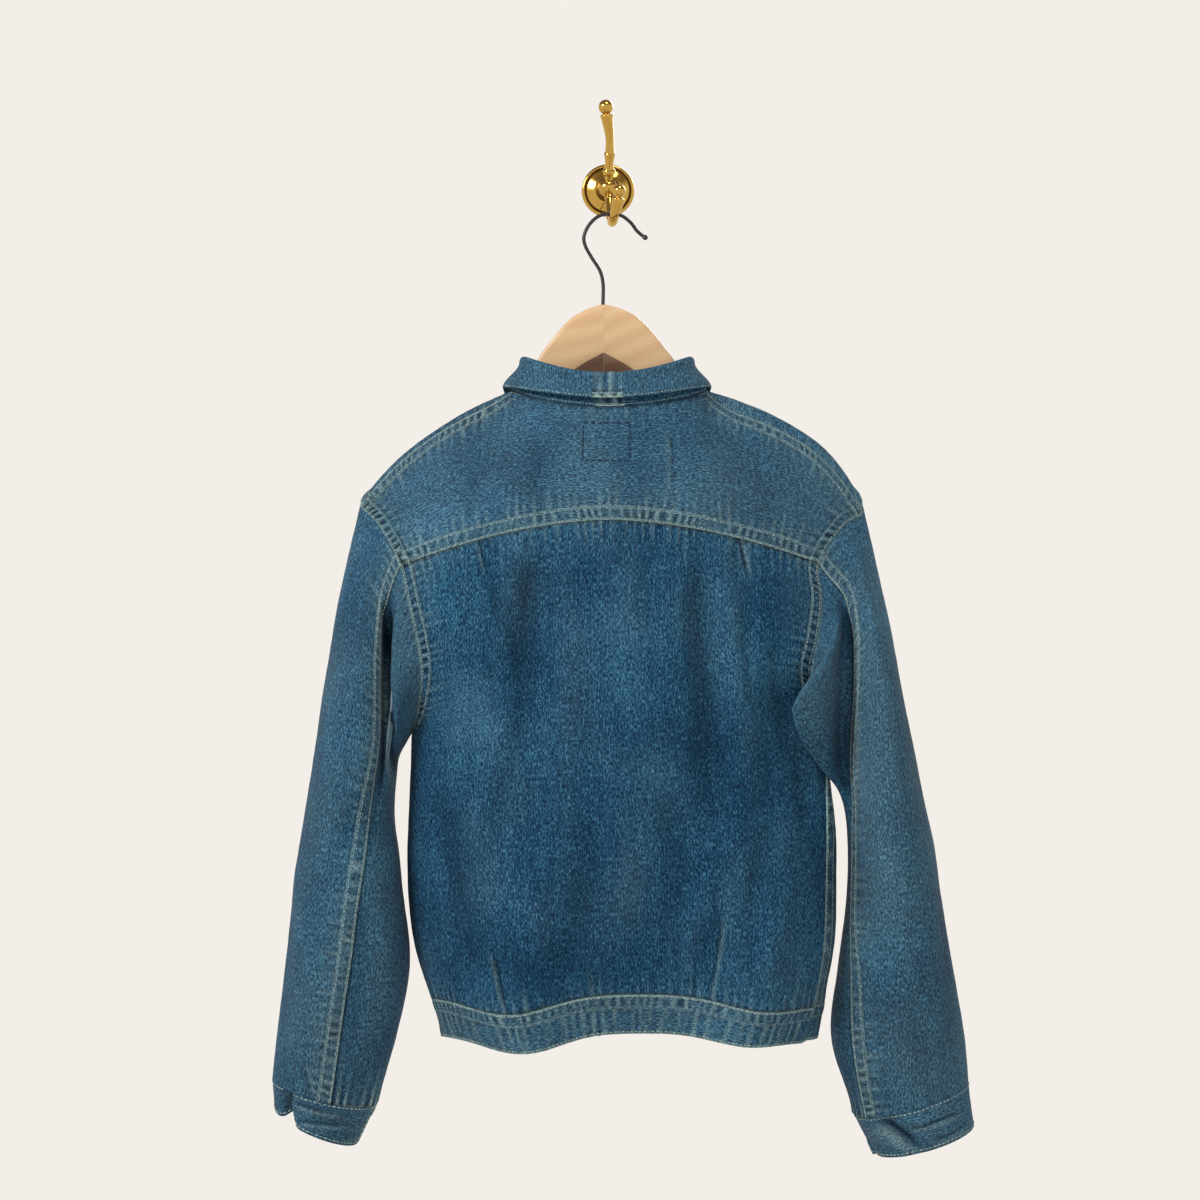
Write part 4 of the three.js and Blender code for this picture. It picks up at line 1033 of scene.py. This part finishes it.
# The line that runs along a panel's edge at a distance in from it, with the cloth's normals.
def seamLine(panel, edge, distance):
    points, normals, lengths = panel["points"], panel["normals"], panel[edge]
    count, columns = len(points), len(points[0])
    if edge in ("top", "bottom"):
        steps = range(count) if edge == "top" else range(count - 1, -1, -1)
        tracks = [[(j, i) for j in steps] for i in range(columns)]
    else:
        steps = range(columns) if edge == "left" else range(columns - 1, -1, -1)
        tracks = [[(j, i) for i in steps] for j in range(count)]
    line = []
    for track in tracks:
        for (j, i), (nextJ, nextI) in zip(track, track[1:]):
            near, far = lengths[j][i], lengths[nextJ][nextI]
            if near <= distance < far:
                t = (distance - near) / (far - near)
                line.append((points[j][i].lerp(points[nextJ][nextI], t),
                             normals[j][i].lerp(normals[nextJ][nextI], t)))
                break
    return line


# Lockstitches are 2.5 mm long and lie 3.1 mm apart, half sunk into the cloth.
stitch = {"pitch": 3.1, "halfLength": 1.3, "radius": 0.4, "height": 0.36, "lift": 0.12, "batch": 30}


# Stitches are made a few at a time and joined, which is quicker than adding to a long row.
def joinInto(whole, bm):
    mesh = bpy.data.meshes.new("stitches")
    bm.to_mesh(mesh)
    bm.free()
    whole.from_mesh(mesh)
    bpy.data.meshes.remove(mesh)
    return bmesh.new()


def sewLine(whole, line, size=1):
    pitch, scale = stitch["pitch"] * size, Matrix.Scale(millimetre * size, 4)
    travelled, due, made = 0, pitch / 2, 0
    bm = bmesh.new()
    for (start, startNormal), (end, endNormal) in zip(line, line[1:]):
        step = (end - start).length
        while step > 0 and due <= travelled + step:
            t = (due - travelled) / step
            normal = startNormal.lerp(endNormal, t).normalized()
            along = (end - start).normalized()
            across = along.cross(normal).normalized()
            centre = start.lerp(end, t) + normal * stitch["lift"]
            turn = Matrix((across * stitch["radius"], across.cross(along) * stitch["height"],
                           along * stitch["halfLength"])).transposed().to_4x4()
            bmesh.ops.create_uvsphere(bm, u_segments=6, v_segments=3, radius=1,
                                      matrix=Matrix.Translation(centre * millimetre) @ turn @ scale)
            due, made = due + pitch, made + 1
            if made % stitch["batch"] == 0:
                bm = joinInto(whole, bm)
        travelled += step
    joinInto(whole, bm).free()


# Where a thicker thread shows as larger stitches, by panel.
threadSizes = {"cuff_left": 1.4, "cuff_right": 1.4, "waistband": 1.2}


# Sews rows of stitches on a panel: each row is an edge, the distance in from it, and the part.
def sewRows(name, panelName, rowsOfStitches, material):
    whole = bmesh.new()
    for edge, distance, start, end in rowsOfStitches:
        line = seamLine(panels[panelName], edge, distance)
        last = len(line) - 1
        sewLine(whole, line[round(start * last):round(end * last) + 1], threadSizes.get(panelName, 1))
    for face in whole.faces:
        face.smooth = True
    piece = addPiece(name, whole, (material,))
    panels[panelName].setdefault("stitches", []).append(piece)


frontStitches = [("right", 1.7, 0, 1), ("right", 10.4, 0.45, 1)]
sleeveStitches = [("right", 1.7, 0, 1), ("right", 10.4, 0, 1), ("left", 1.7, 0, 1), ("left", 10.4, 0, 1)]
cuffStitches = [("top", 1.6, 0, 1), ("bottom", 2.5, 0, 1), ("left", 2.5, 0, 1), ("right", 2.5, 0, 1)]
stitchRows = {
    "back_yoke": [("bottom", 1.7, 0, 1), ("bottom", 10.4, 0, 1), ("top", 1.6, 0, 0.34), ("top", 9.6, 0, 0.33),
                  ("top", 1.6, 0.66, 1), ("top", 9.6, 0.67, 1), ("left", 2, 0, 1), ("right", 2, 0, 1)],
    "back_body": [("left", 2, 0, 0.55), ("right", 2, 0, 0.55), ("left", 9, 0, 0.5), ("right", 9, 0, 0.5)],
    "front_left": frontStitches,
    "front_right": frontStitches,
    "waistband": [("top", 1.6, 0, 1), ("bottom", 2, 0, 1)],
    "collar_stand": [("top", 1.8, 0, 1)],
    "collar_leaf": [("bottom", 1.7, 0, 1), ("left", 1.7, 0, 1), ("right", 1.7, 0, 1)],
    "sleeve_left_upper": sleeveStitches,
    "sleeve_right_upper": sleeveStitches,
    "cuff_left": cuffStitches,
    "cuff_right": cuffStitches,
    "front_band": [("left", 2.5, 0, 1), ("right", 2.5, 0, 1)],
}
for panelName, rowsOfStitches in stitchRows.items():
    sewRows(f"topstitching_{panelName}", panelName, rowsOfStitches, paleThread)


# The place on a panel that is seen at x and z from behind, with its normal.
def onPanel(panel, x, z):
    pairs = [(point, normal) for row, normalRow in zip(panel["points"], panel["normals"])
             for point, normal in zip(row, normalRow)]
    point, normal = min(pairs, key=lambda pair: (pair[0].x - x) ** 2 + (pair[0].z - z) ** 2)
    depth = point.y - (normal.x * (x - point.x) + normal.z * (z - point.z)) / normal.y
    return Vector((x, depth, z)), normal


# A rectangle of dark stitches on the yoke, that holds a patch sewn on inside the jacket.
patchStitches = {"left": -22.5, "right": 19, "top": -223.5, "bottom": -257.5, "corners": 12, "size": 1.9}
left, right, top, bottom = (patchStitches[key] for key in ("left", "right", "top", "bottom"))
outline = [(left, top), (right, top), (right, bottom), (left, bottom), (left, top)]
bm = bmesh.new()
for (fromX, fromZ), (toX, toZ) in zip(outline, outline[1:]):
    steps = spread(0, 1, patchStitches["corners"])
    sewLine(bm, [onPanel(panels["back_yoke"], mix(fromX, toX, t), mix(fromZ, toZ, t)) for t in steps],
            patchStitches["size"])
for face in bm.faces:
    face.smooth = True
panels["back_yoke"]["stitches"].append(addPiece("patch_stitches", bm, (darkThread,)))
print("stitches sewn")


# Points closer than a thousandth of a millimetre are one, in metres.
weldReach = 1e-6


# A shape turned on an axis: a profile of (distance from the axis, place along it), spun round.
def turnedPiece(name, profile, centre, towards, materials, replaced=(), turns=48, grooves=()):
    bm = bmesh.new()
    verts = [bm.verts.new((radius * millimetre, 0, along * millimetre)) for radius, along in profile]
    edges = [bm.edges.new(pair) for pair in zip(verts, verts[1:])]
    bmesh.ops.spin(bm, geom=verts + edges, cent=(0, 0, 0), axis=(0, 0, 1), dvec=(0, 0, 0),
                   angle=2 * math.pi, steps=turns, use_merge=True)
    bmesh.ops.remove_doubles(bm, verts=bm.verts, dist=weldReach)
    bmesh.ops.recalc_face_normals(bm, faces=bm.faces)
    for face in bm.faces:
        middle = face.calc_center_median() / millimetre
        reach = math.hypot(middle.x, middle.y)
        inGroove = any(near < reach < far and middle.z < top for near, far, top in grooves)
        face.material_index = 1 if inGroove else 0
    turn = Vector((0, 0, 1)).rotation_difference(Vector(towards)).to_matrix().to_4x4()
    bmesh.ops.transform(bm, matrix=Matrix.Translation(Vector(centre) * millimetre) @ turn, verts=bm.verts)
    for face in bm.faces:
        face.smooth = True
    return addPiece(name, bm, materials, replaced)


# Closes a grid that was wrapped to a tube: welds where it meets itself and fills its ends.
def closeTube(bm, sides):
    bmesh.ops.remove_doubles(bm, verts=bm.verts, dist=weldReach)
    bmesh.ops.holes_fill(bm, edges=[edge for edge in bm.edges if edge.is_boundary], sides=sides + 2)
    bmesh.ops.recalc_face_normals(bm, faces=bm.faces)


# A round bar along a smooth path, from a grid that is wrapped round it and closed.
def barPiece(name, path, radiusAt, rings, sides, material, replaced=()):
    curve = SmoothCurve(path, False)
    last = len(path) - 1
    centres = [curve.at(t) for t in spread(0, last - 1e-6, rings)]
    lengths = arcLengths([centres], False)[0]
    frames = []
    across = Vector((1, 0, 0))
    for k, centre in enumerate(centres):
        along = (centres[min(rings, k + 1)] - centres[max(0, k - 1)]).normalized()
        across = (across - along * across.dot(along)).normalized()
        radius = radiusAt(lengths[k] / lengths[-1], lengths[-1])
        frames.append((centre, across.copy(), along.cross(across), radius))
    bm = bmesh.new()
    bmesh.ops.create_grid(bm, x_segments=sides, y_segments=rings, size=1)
    for vert in bm.verts:
        angle = (vert.co.x + 1) * math.pi
        centre, sideways, upwards, radius = frames[round((vert.co.y + 1) / 2 * rings)]
        vert.co = (centre + (sideways * math.cos(angle) + upwards * math.sin(angle)) * radius) * millimetre
    closeTube(bm, sides)
    for face in bm.faces:
        face.smooth = True
    return addPiece(name, bm, (material,), replaced)


# A metal or a lacquer whose tone and gloss wander a little, in clouds of a given size.
def cloudyMetal(name, colour, dark, roughness, metallic, cloudSize):
    material = newMaterial(name)
    place = addNode(material, "ShaderNodeTexCoord")
    cloud = addNode(material, "ShaderNodeTexNoise", None, {
        "Vector": (place, "Object"), "Scale": patternScale(cloudSize), "Detail": 4.0, "Roughness": 0.6})
    tint = blendColour(material, (cloud, "Fac"), linear(dark), linear(colour))
    gloss = addNode(material, "ShaderNodeMapRange", None, {
        "Value": (cloud, "Fac"), "From Min": 0.3, "From Max": 0.7, "To Min": roughness * 0.7,
        "To Max": roughness * 1.4})
    return addSurface(material, (cloud, "Fac"), 0.05, 0.0001, {
        "Base Color": tint, "Roughness": (gloss, "Result"), "Metallic": metallic})


# Cast brass, polished and a little aged: warm reflections with soft cloudy spots.
polishedBrass = cloudyMetal("polished_cast_brass", "#dcb662", "#b48a3a", 0.12, 1.0, 12)
# A browner, duller brass for the grooves: a painted dark reflection, a dark line in the grooves.
brassWithPaintedDarkReflection = cloudyMetal("brass_with_painted_dark_reflection", "#6e4c1c", "#3c2810", 0.4, 1.0, 8)
# Stamped copper-plated steel, rubbed by wear: duller and redder than the brass.
wornCopper = cloudyMetal("worn_copper_plate", "#b5764a", "#6d4630", 0.38, 1.0, 2.5)
# Steel wire under black lacquer: dark, with a satin highlight along it.
blackLacquer = cloudyMetal("black_lacquered_wire", "#2c2c2e", "#151516", 0.34, 0.0, 4)


# Beech, planed and satin varnished: pale, with darker rings that run slanted to the edge.
# The board is sawn along its rings, so they cross its face 19 mm apart in long soft bends.
# The short dark pores are 2.2 mm long. Real ones are finer, and would be lost.
beechLook = {"pale": "#cfae83", "middle": "#c6a278", "dark": "#a97d50", "ringPitch": 18.85, "poreLength": 2.2,
             "poreWidth": 0.5}
# The same beech in darker, browner colours: painted shade for the faces of the notch that look down.
beechLookWithPaintedShade = {**beechLook, "pale": "#7d5f4b", "middle": "#6d4f3d", "dark": "#5a3f30"}


def varnishedBeech(name, look, slope):
    material = newMaterial(name)
    place = addNode(material, "ShaderNodeTexCoord")
    turned = addNode(material, "ShaderNodeMapping", None, {
        "Vector": (place, "Object"), "Rotation": (0, math.radians(slope), 0)})
    stretched = addNode(material, "ShaderNodeMapping", None, {
        "Vector": (turned, "Vector"), "Scale": (0.18, 1, 1)})
    rings = addNode(material, "ShaderNodeTexWave", {"bands_direction": "Z", "wave_profile": "SIN"}, {
        "Vector": (stretched, "Vector"), "Scale": waveScale(look["ringPitch"], 20), "Distortion": 7.0,
        "Detail": 1.0, "Detail Scale": 0.35})
    alongPore, acrossPore = patternScale(look["poreLength"]), patternScale(look["poreWidth"])
    poreMap = addNode(material, "ShaderNodeMapping", None, {
        "Vector": (turned, "Vector"), "Scale": (alongPore, acrossPore, acrossPore)})
    pores = addNode(material, "ShaderNodeTexNoise", None, {
        "Vector": (poreMap, "Vector"), "Scale": 1.0, "Detail": 1.0})
    colour = addNode(material, "ShaderNodeValToRGB", None, {"Fac": (rings, "Fac")})
    ramp = colour.color_ramp
    ramp.elements[0].color = linear(look["pale"])
    ramp.elements[1].color = linear(look["middle"])
    flecked = addNode(material, "ShaderNodeMapRange", None, {
        "Value": (pores, "Fac"), "From Min": 0.62, "From Max": 0.75, "To Min": 0.0, "To Max": 0.5})
    tint = blendColour(material, (flecked, "Result"), (colour, "Color"), linear(look["dark"]))
    return addSurface(material, (pores, "Fac"), 0.2, 0.0001, {
        "Base Color": tint, "Roughness": 0.42, "Coat Weight": 0.25, "Coat Roughness": 0.3})


# The hanger: two beech arms that meet in a mitre at the middle, under the shoulders.
hanger = {
    "middle": -4.2, "thickness": 13, "flatness": 0.3, "edgeRoundness": 0.4, "rings": 90, "sides": 40,
    "start": 0.02, "clothWall": 1.8, "clearance": 0.6, "endRounding": 4, "endReach": 6, "sharpAngle": 0.5,
    "notch": {"slant": 34, "reach": 60, "underFacing": -0.2, "roomFacing": 0.3},
    "left": {"reach": 194, "slope": 12, "tops": rows("at top bottom", [
        (0, -112, -155.5), (9.6, -114.2, -160.8), (16, -116.6, -164.6), (22.4, -120, -169),
        (28.7, -124, -174), (35.1, -129.8, -180), (41.5, -136.8, -187), (47.9, -144.8, -194),
        (56, -155.5, -203), (84, -198, -232), (194, -262, -282)])},
    "right": {"reach": 206, "slope": 24, "tops": rows("at top bottom", [
        (0, -112, -155.5), (9.5, -113.7, -160.6), (15.8, -115.7, -164.4), (22.2, -118.4, -168.5),
        (28.6, -122, -173.5), (34.9, -127.3, -179), (41.3, -133.9, -185), (47.7, -141.2, -192),
        (54, -149.2, -198), (60.4, -157, -205), (94, -202, -234), (206, -262, -282)])},
}


def hangerSection(side, far):
    arm, line = hanger[side], shoulders[side]
    row = sample(arm["tops"], far, True)
    x = hanger["middle"] + line["out"] * far
    f = (x - line["neck"][0]) / (line["tip"][0] - line["neck"][0])
    under = overShoulder(side, f, 0).z - hanger["clothWall"] - hanger["clearance"] if f > 0 else row["top"]
    rounding = hanger["endRounding"] * ease((far - arm["reach"]) / hanger["endReach"] + 1)
    return x, min(row["top"], under) - rounding, sample(arm["tops"], far)["bottom"] + rounding


notch = hanger["notch"]
for side in shoulders:
    arm = hanger[side]
    bm = bmesh.new()
    bmesh.ops.create_grid(bm, x_segments=hanger["sides"], y_segments=hanger["rings"], size=1)
    for vert in bm.verts:
        angle = (vert.co.x + 1) * math.pi
        x, top, bottom = hangerSection(side, mix(hanger["start"], arm["reach"], (vert.co.y + 1) / 2))
        cosine, sine = math.cos(angle), math.sin(angle)
        outward = math.copysign(abs(cosine) ** hanger["flatness"], cosine)
        upward = math.copysign(abs(sine) ** hanger["edgeRoundness"], sine)
        y = jacket["hangerY"] + hanger["thickness"] / 2 * outward
        z = (top + bottom) / 2 + (top - bottom) / 2 * upward
        behind = clamp((y - jacket["hangerY"]) / hanger["thickness"] + 0.5)
        inNotch = 1 - ease(abs(x - hanger["middle"]) / notch["reach"])
        vert.co = Vector((x, y, z - notch["slant"] * behind * max(0, -sine) * inNotch)) * millimetre
    closeTube(bm, hanger["sides"])
    for face in bm.faces:
        face.smooth = len(face.verts) < 5
        # Faces in the notch that look down take the beech with painted shade.
        notched = abs(face.calc_center_median().x / millimetre - hanger["middle"]) < notch["reach"]
        paintedShadeFace = notched and face.normal.z < notch["underFacing"] and face.normal.y < notch["roomFacing"]
        face.material_index = 1 if paintedShadeFace else 0
    for edge in bm.edges:
        edge.smooth = edge.calc_face_angle(0) < hanger["sharpAngle"]
    beeches = (varnishedBeech(f"satin_varnished_beech_{side}", beechLook, arm["slope"]),
               varnishedBeech(f"beech_with_painted_shade_in_notch_{side}", beechLookWithPaintedShade, arm["slope"]))
    addPiece(f"hanger_{side}_arm", bm, beeches, (f"hanger_arm_{side}",))


# A bar's radius where it swells to a ball at its end, with so much of its length left.
# Before the ball it keeps the neck's radius.
def ballEnd(left, ball, neck, neckFrom, tip=0.05):
    inBall = math.sqrt(max(0, ball ** 2 - (left - ball) ** 2))
    return max(tip, inBall, neck if left > neckFrom * ball else 0)


# The hanger's hook is one lacquered wire with a ball at its tip.
wire = {"radius": 1.65, "ball": 2.5, "path": [
    (-4.7, -112.2), (-4.7, -92), (-7.4, -81), (-14.7, -69.3), (-21, -57.5), (-22, -50), (-17.5, -39.5),
    (-9.2, -31.6), (-1.9, -29.3), (5.3, -29.2), (12.6, -31), (20.8, -37.4), (26.3, -44.7), (33, -50.2),
    (36, -51.5)]}


def wireRadius(share, length):
    left = length * (1 - share)
    if left > 2 * wire["ball"]:
        return wire["radius"]
    return ballEnd(left, wire["ball"], wire["radius"], 1)


barPiece("wire_hook", [(x, jacket["hangerY"], z) for x, z in wire["path"]], wireRadius, 240, 20, blackLacquer,
         ("hanger_hook",))

# The wall hook: a dished rose with a round boss, a long upper prong and a short lower one.
wallHook = {
    "roseRadius": 24.5, "bossRadius": 9.2, "bossOut": 15, "bossFrom": 0.3, "neck": 3.4, "neckFrom": 1.6,
    "upper": {"ball": 6.7, "path": [(0.5, -18.75, 7.65), (1.2, -27, 22), (1.4, -38, 42), (-1, -47, 58),
                                    (-2.9, -50, 74.4)],
              "radii": rows("at radius", [
                  (0, 4.0), (0.05, 4.4), (0.09, 5.8), (0.12, 5.6), (0.14, 4.4), (0.22, 4.0), (0.3, 4.9),
                  (0.33, 5.2), (0.345, 4.3), (0.5, 3.8), (0.66, 4.5), (0.76, 5.3), (0.8, 5.9), (0.82, 5.9),
                  (0.835, 4.0), (1, 4.0)])},
    "lower": {"ball": 5.9, "path": [(1.36, -18.9, -7.43), (2, -28, -22), (3, -38, -33), (4, -49, -36.4),
                                    (6, -59, -31), (8.5, -64, -22), (10.6, -65, -5.4)],
              "radii": rows("at radius", [
                  (0, 4.2), (0.04, 5.0), (0.08, 4.4), (0.4, 4.5), (0.6, 4.5), (0.75, 5.0), (0.82, 5.6),
                  (0.845, 5.6), (0.86, 3.8), (1, 3.8)])},
}
bossRadius, bossOut = wallHook["bossRadius"], wallHook["bossOut"]
bossProfile = [(bossRadius * math.sin(math.pi * t), bossOut - bossRadius * math.cos(math.pi * t))
               for t in spread(wallHook["bossFrom"], 1, 24)]
rimProfile = [(-0.6, 0), (0, 0.5), (0, 1.6), (-0.5, 2.6), (-1.5, 3.2), (-2.6, 3.2), (-3.4, 2.6),
              (-4, 2.2), (-5, 2.4)]
roseProfile = [(0, 0), *((wallHook["roseRadius"] + inward, out) for inward, out in rimProfile),
               (17, 3.6), (14, 5.2), (11.5, 6.1), (10, 6.3), (9.2, 7.2), (8.6, 7.4), (7.8, 7.6), (7.2, 8.4),
               *bossProfile]
# The grooves that take the painted dark reflection: from one radius to another, below a height.
roseGrooves = [(19.4, 21.8, 3.1), (6.9, 11.2, 9.4)]
turnedPiece("wall_rose", roseProfile, (0, 0, 0), (0, -1, 0), (polishedBrass, brassWithPaintedDarkReflection),
            ("wall_hook_rose",), 72, roseGrooves)


# A prong's radius at a share of its length: from its table, with a ball at the end.
def prongRadius(prong):
    def radiusAt(share, length):
        left = length * (1 - share)
        if left >= 2 * prong["ball"]:
            return sample(prong["radii"], share)["radius"]
        return ballEnd(left, prong["ball"], wallHook["neck"], wallHook["neckFrom"])
    return radiusAt


for which in ("upper", "lower"):
    barPiece(f"{which}_prong", wallHook[which]["path"], prongRadius(wallHook[which]), 190, 32, polishedBrass,
             (f"wall_hook_{which}_prong",))

# Shank buttons down the front: a rolled rim round a dished middle with a small centre stud.
buttonProfile = [(0, 0.05), (8.0, 0.05), (8.5, 0.5), (8.5, 1.3), (8.1, 1.9), (7.4, 2.3), (6.7, 2.2),
                 (6.1, 1.7), (5.0, 1.3), (3.4, 1.3), (2.4, 1.5), (1.8, 2.0), (1.0, 2.3), (0, 2.4)]
clearOfCloth = Vector((0, 0.3, 0))
for k, v in enumerate(buttonBand["buttons"]):
    turnedPiece(f"button_{k + 1}", buttonProfile, frontBand(0.5, v) + clearOfCloth, (0, 1, 0), (wornCopper,),
                (f"front_button_{k + 1}",), 40)
print("hanger, hooks and buttons made")

# A plain pale studio: a round floor, a sky that is pale all round and dim overhead, soft lights.
studio = {"pale": "#f3eee8", "dim": "#8d8478", "ground": "#d9d2c9", "floorZ": -1.25, "floorRadius": 1.15}
bm = bmesh.new()
bmesh.ops.create_circle(bm, cap_ends=True, segments=96, radius=studio["floorRadius"])
bmesh.ops.translate(bm, vec=(0, 0, studio["floorZ"]), verts=bm.verts)
floorMesh = bpy.data.meshes.new("studio_floor")
bm.to_mesh(floorMesh)
bm.free()
studioFloor = bpy.data.objects.new("studio_floor", floorMesh)
bpy.context.scene.collection.objects.link(studioFloor)
floorPaint = newMaterial("matt_floor_paint")
speckle = addNode(floorPaint, "ShaderNodeTexNoise", None, {"Scale": 40.0})
matt = addNode(floorPaint, "ShaderNodeMapRange", None, {
    "Value": (speckle, "Fac"), "To Min": 0.86, "To Max": 0.94})
floorShader = addNode(floorPaint, "ShaderNodeBsdfPrincipled", None, {
    "Base Color": linear(studio["pale"]), "Roughness": (matt, "Result"), "Specular IOR Level": 0.1})
addNode(floorPaint, "ShaderNodeOutputMaterial", None, {"Surface": (floorShader, "BSDF")})
floorMesh.materials.append(floorPaint)

world = bpy.data.worlds.new("studio_sky")
world.use_nodes = True
world.node_tree.nodes.clear()
skyPlace = addNode(world, "ShaderNodeTexCoord")
skyHeight = addNode(world, "ShaderNodeSeparateXYZ", None, {"Vector": (skyPlace, "Generated")})
skyLevel = addNode(world, "ShaderNodeMapRange", None, {
    "Value": (skyHeight, "Z"), "From Min": -1.0, "From Max": 1.0})
skyColour = addNode(world, "ShaderNodeValToRGB", None, {"Fac": (skyLevel, "Result")})
skyBands = skyColour.color_ramp.elements
skyBands[0].color = linear(studio["ground"])
skyBands[1].color = linear(studio["dim"])
for level, shade in ((0.3, "pale"), (0.68, "pale"), (0.78, "dim")):
    skyBands.new(level).color = linear(studio[shade])
sky = addNode(world, "ShaderNodeBackground", None, {"Color": (skyColour, "Color"), "Strength": 1.0})
addNode(world, "ShaderNodeOutputWorld", None, {"Surface": (sky, "Background")})
bpy.context.scene.world = world
bpy.context.scene.view_settings.view_transform = "Standard"


def softLight(name, place, aim, size, power):
    data = bpy.data.lights.new(name, "AREA")
    data.shape = "DISK"
    data.size = size
    data.energy = power
    light = bpy.data.objects.new(name, data)
    light.location = place
    light.rotation_euler = (Vector(aim) - Vector(place)).to_track_quat("-Z", "Y").to_euler()
    bpy.context.scene.collection.objects.link(light)


softLight("key_light", (-1.7, -1.5, 1.0), (0, -0.1, -0.5), 0.8, 42)
softLight("top_light", (0.3, -0.9, 1.6), (0, -0.1, -0.5), 0.8, 12)
softLight("back_light", (0.9, 2.0, 0.9), (0, 0, -0.5), 1.2, 22)
print("studio set")
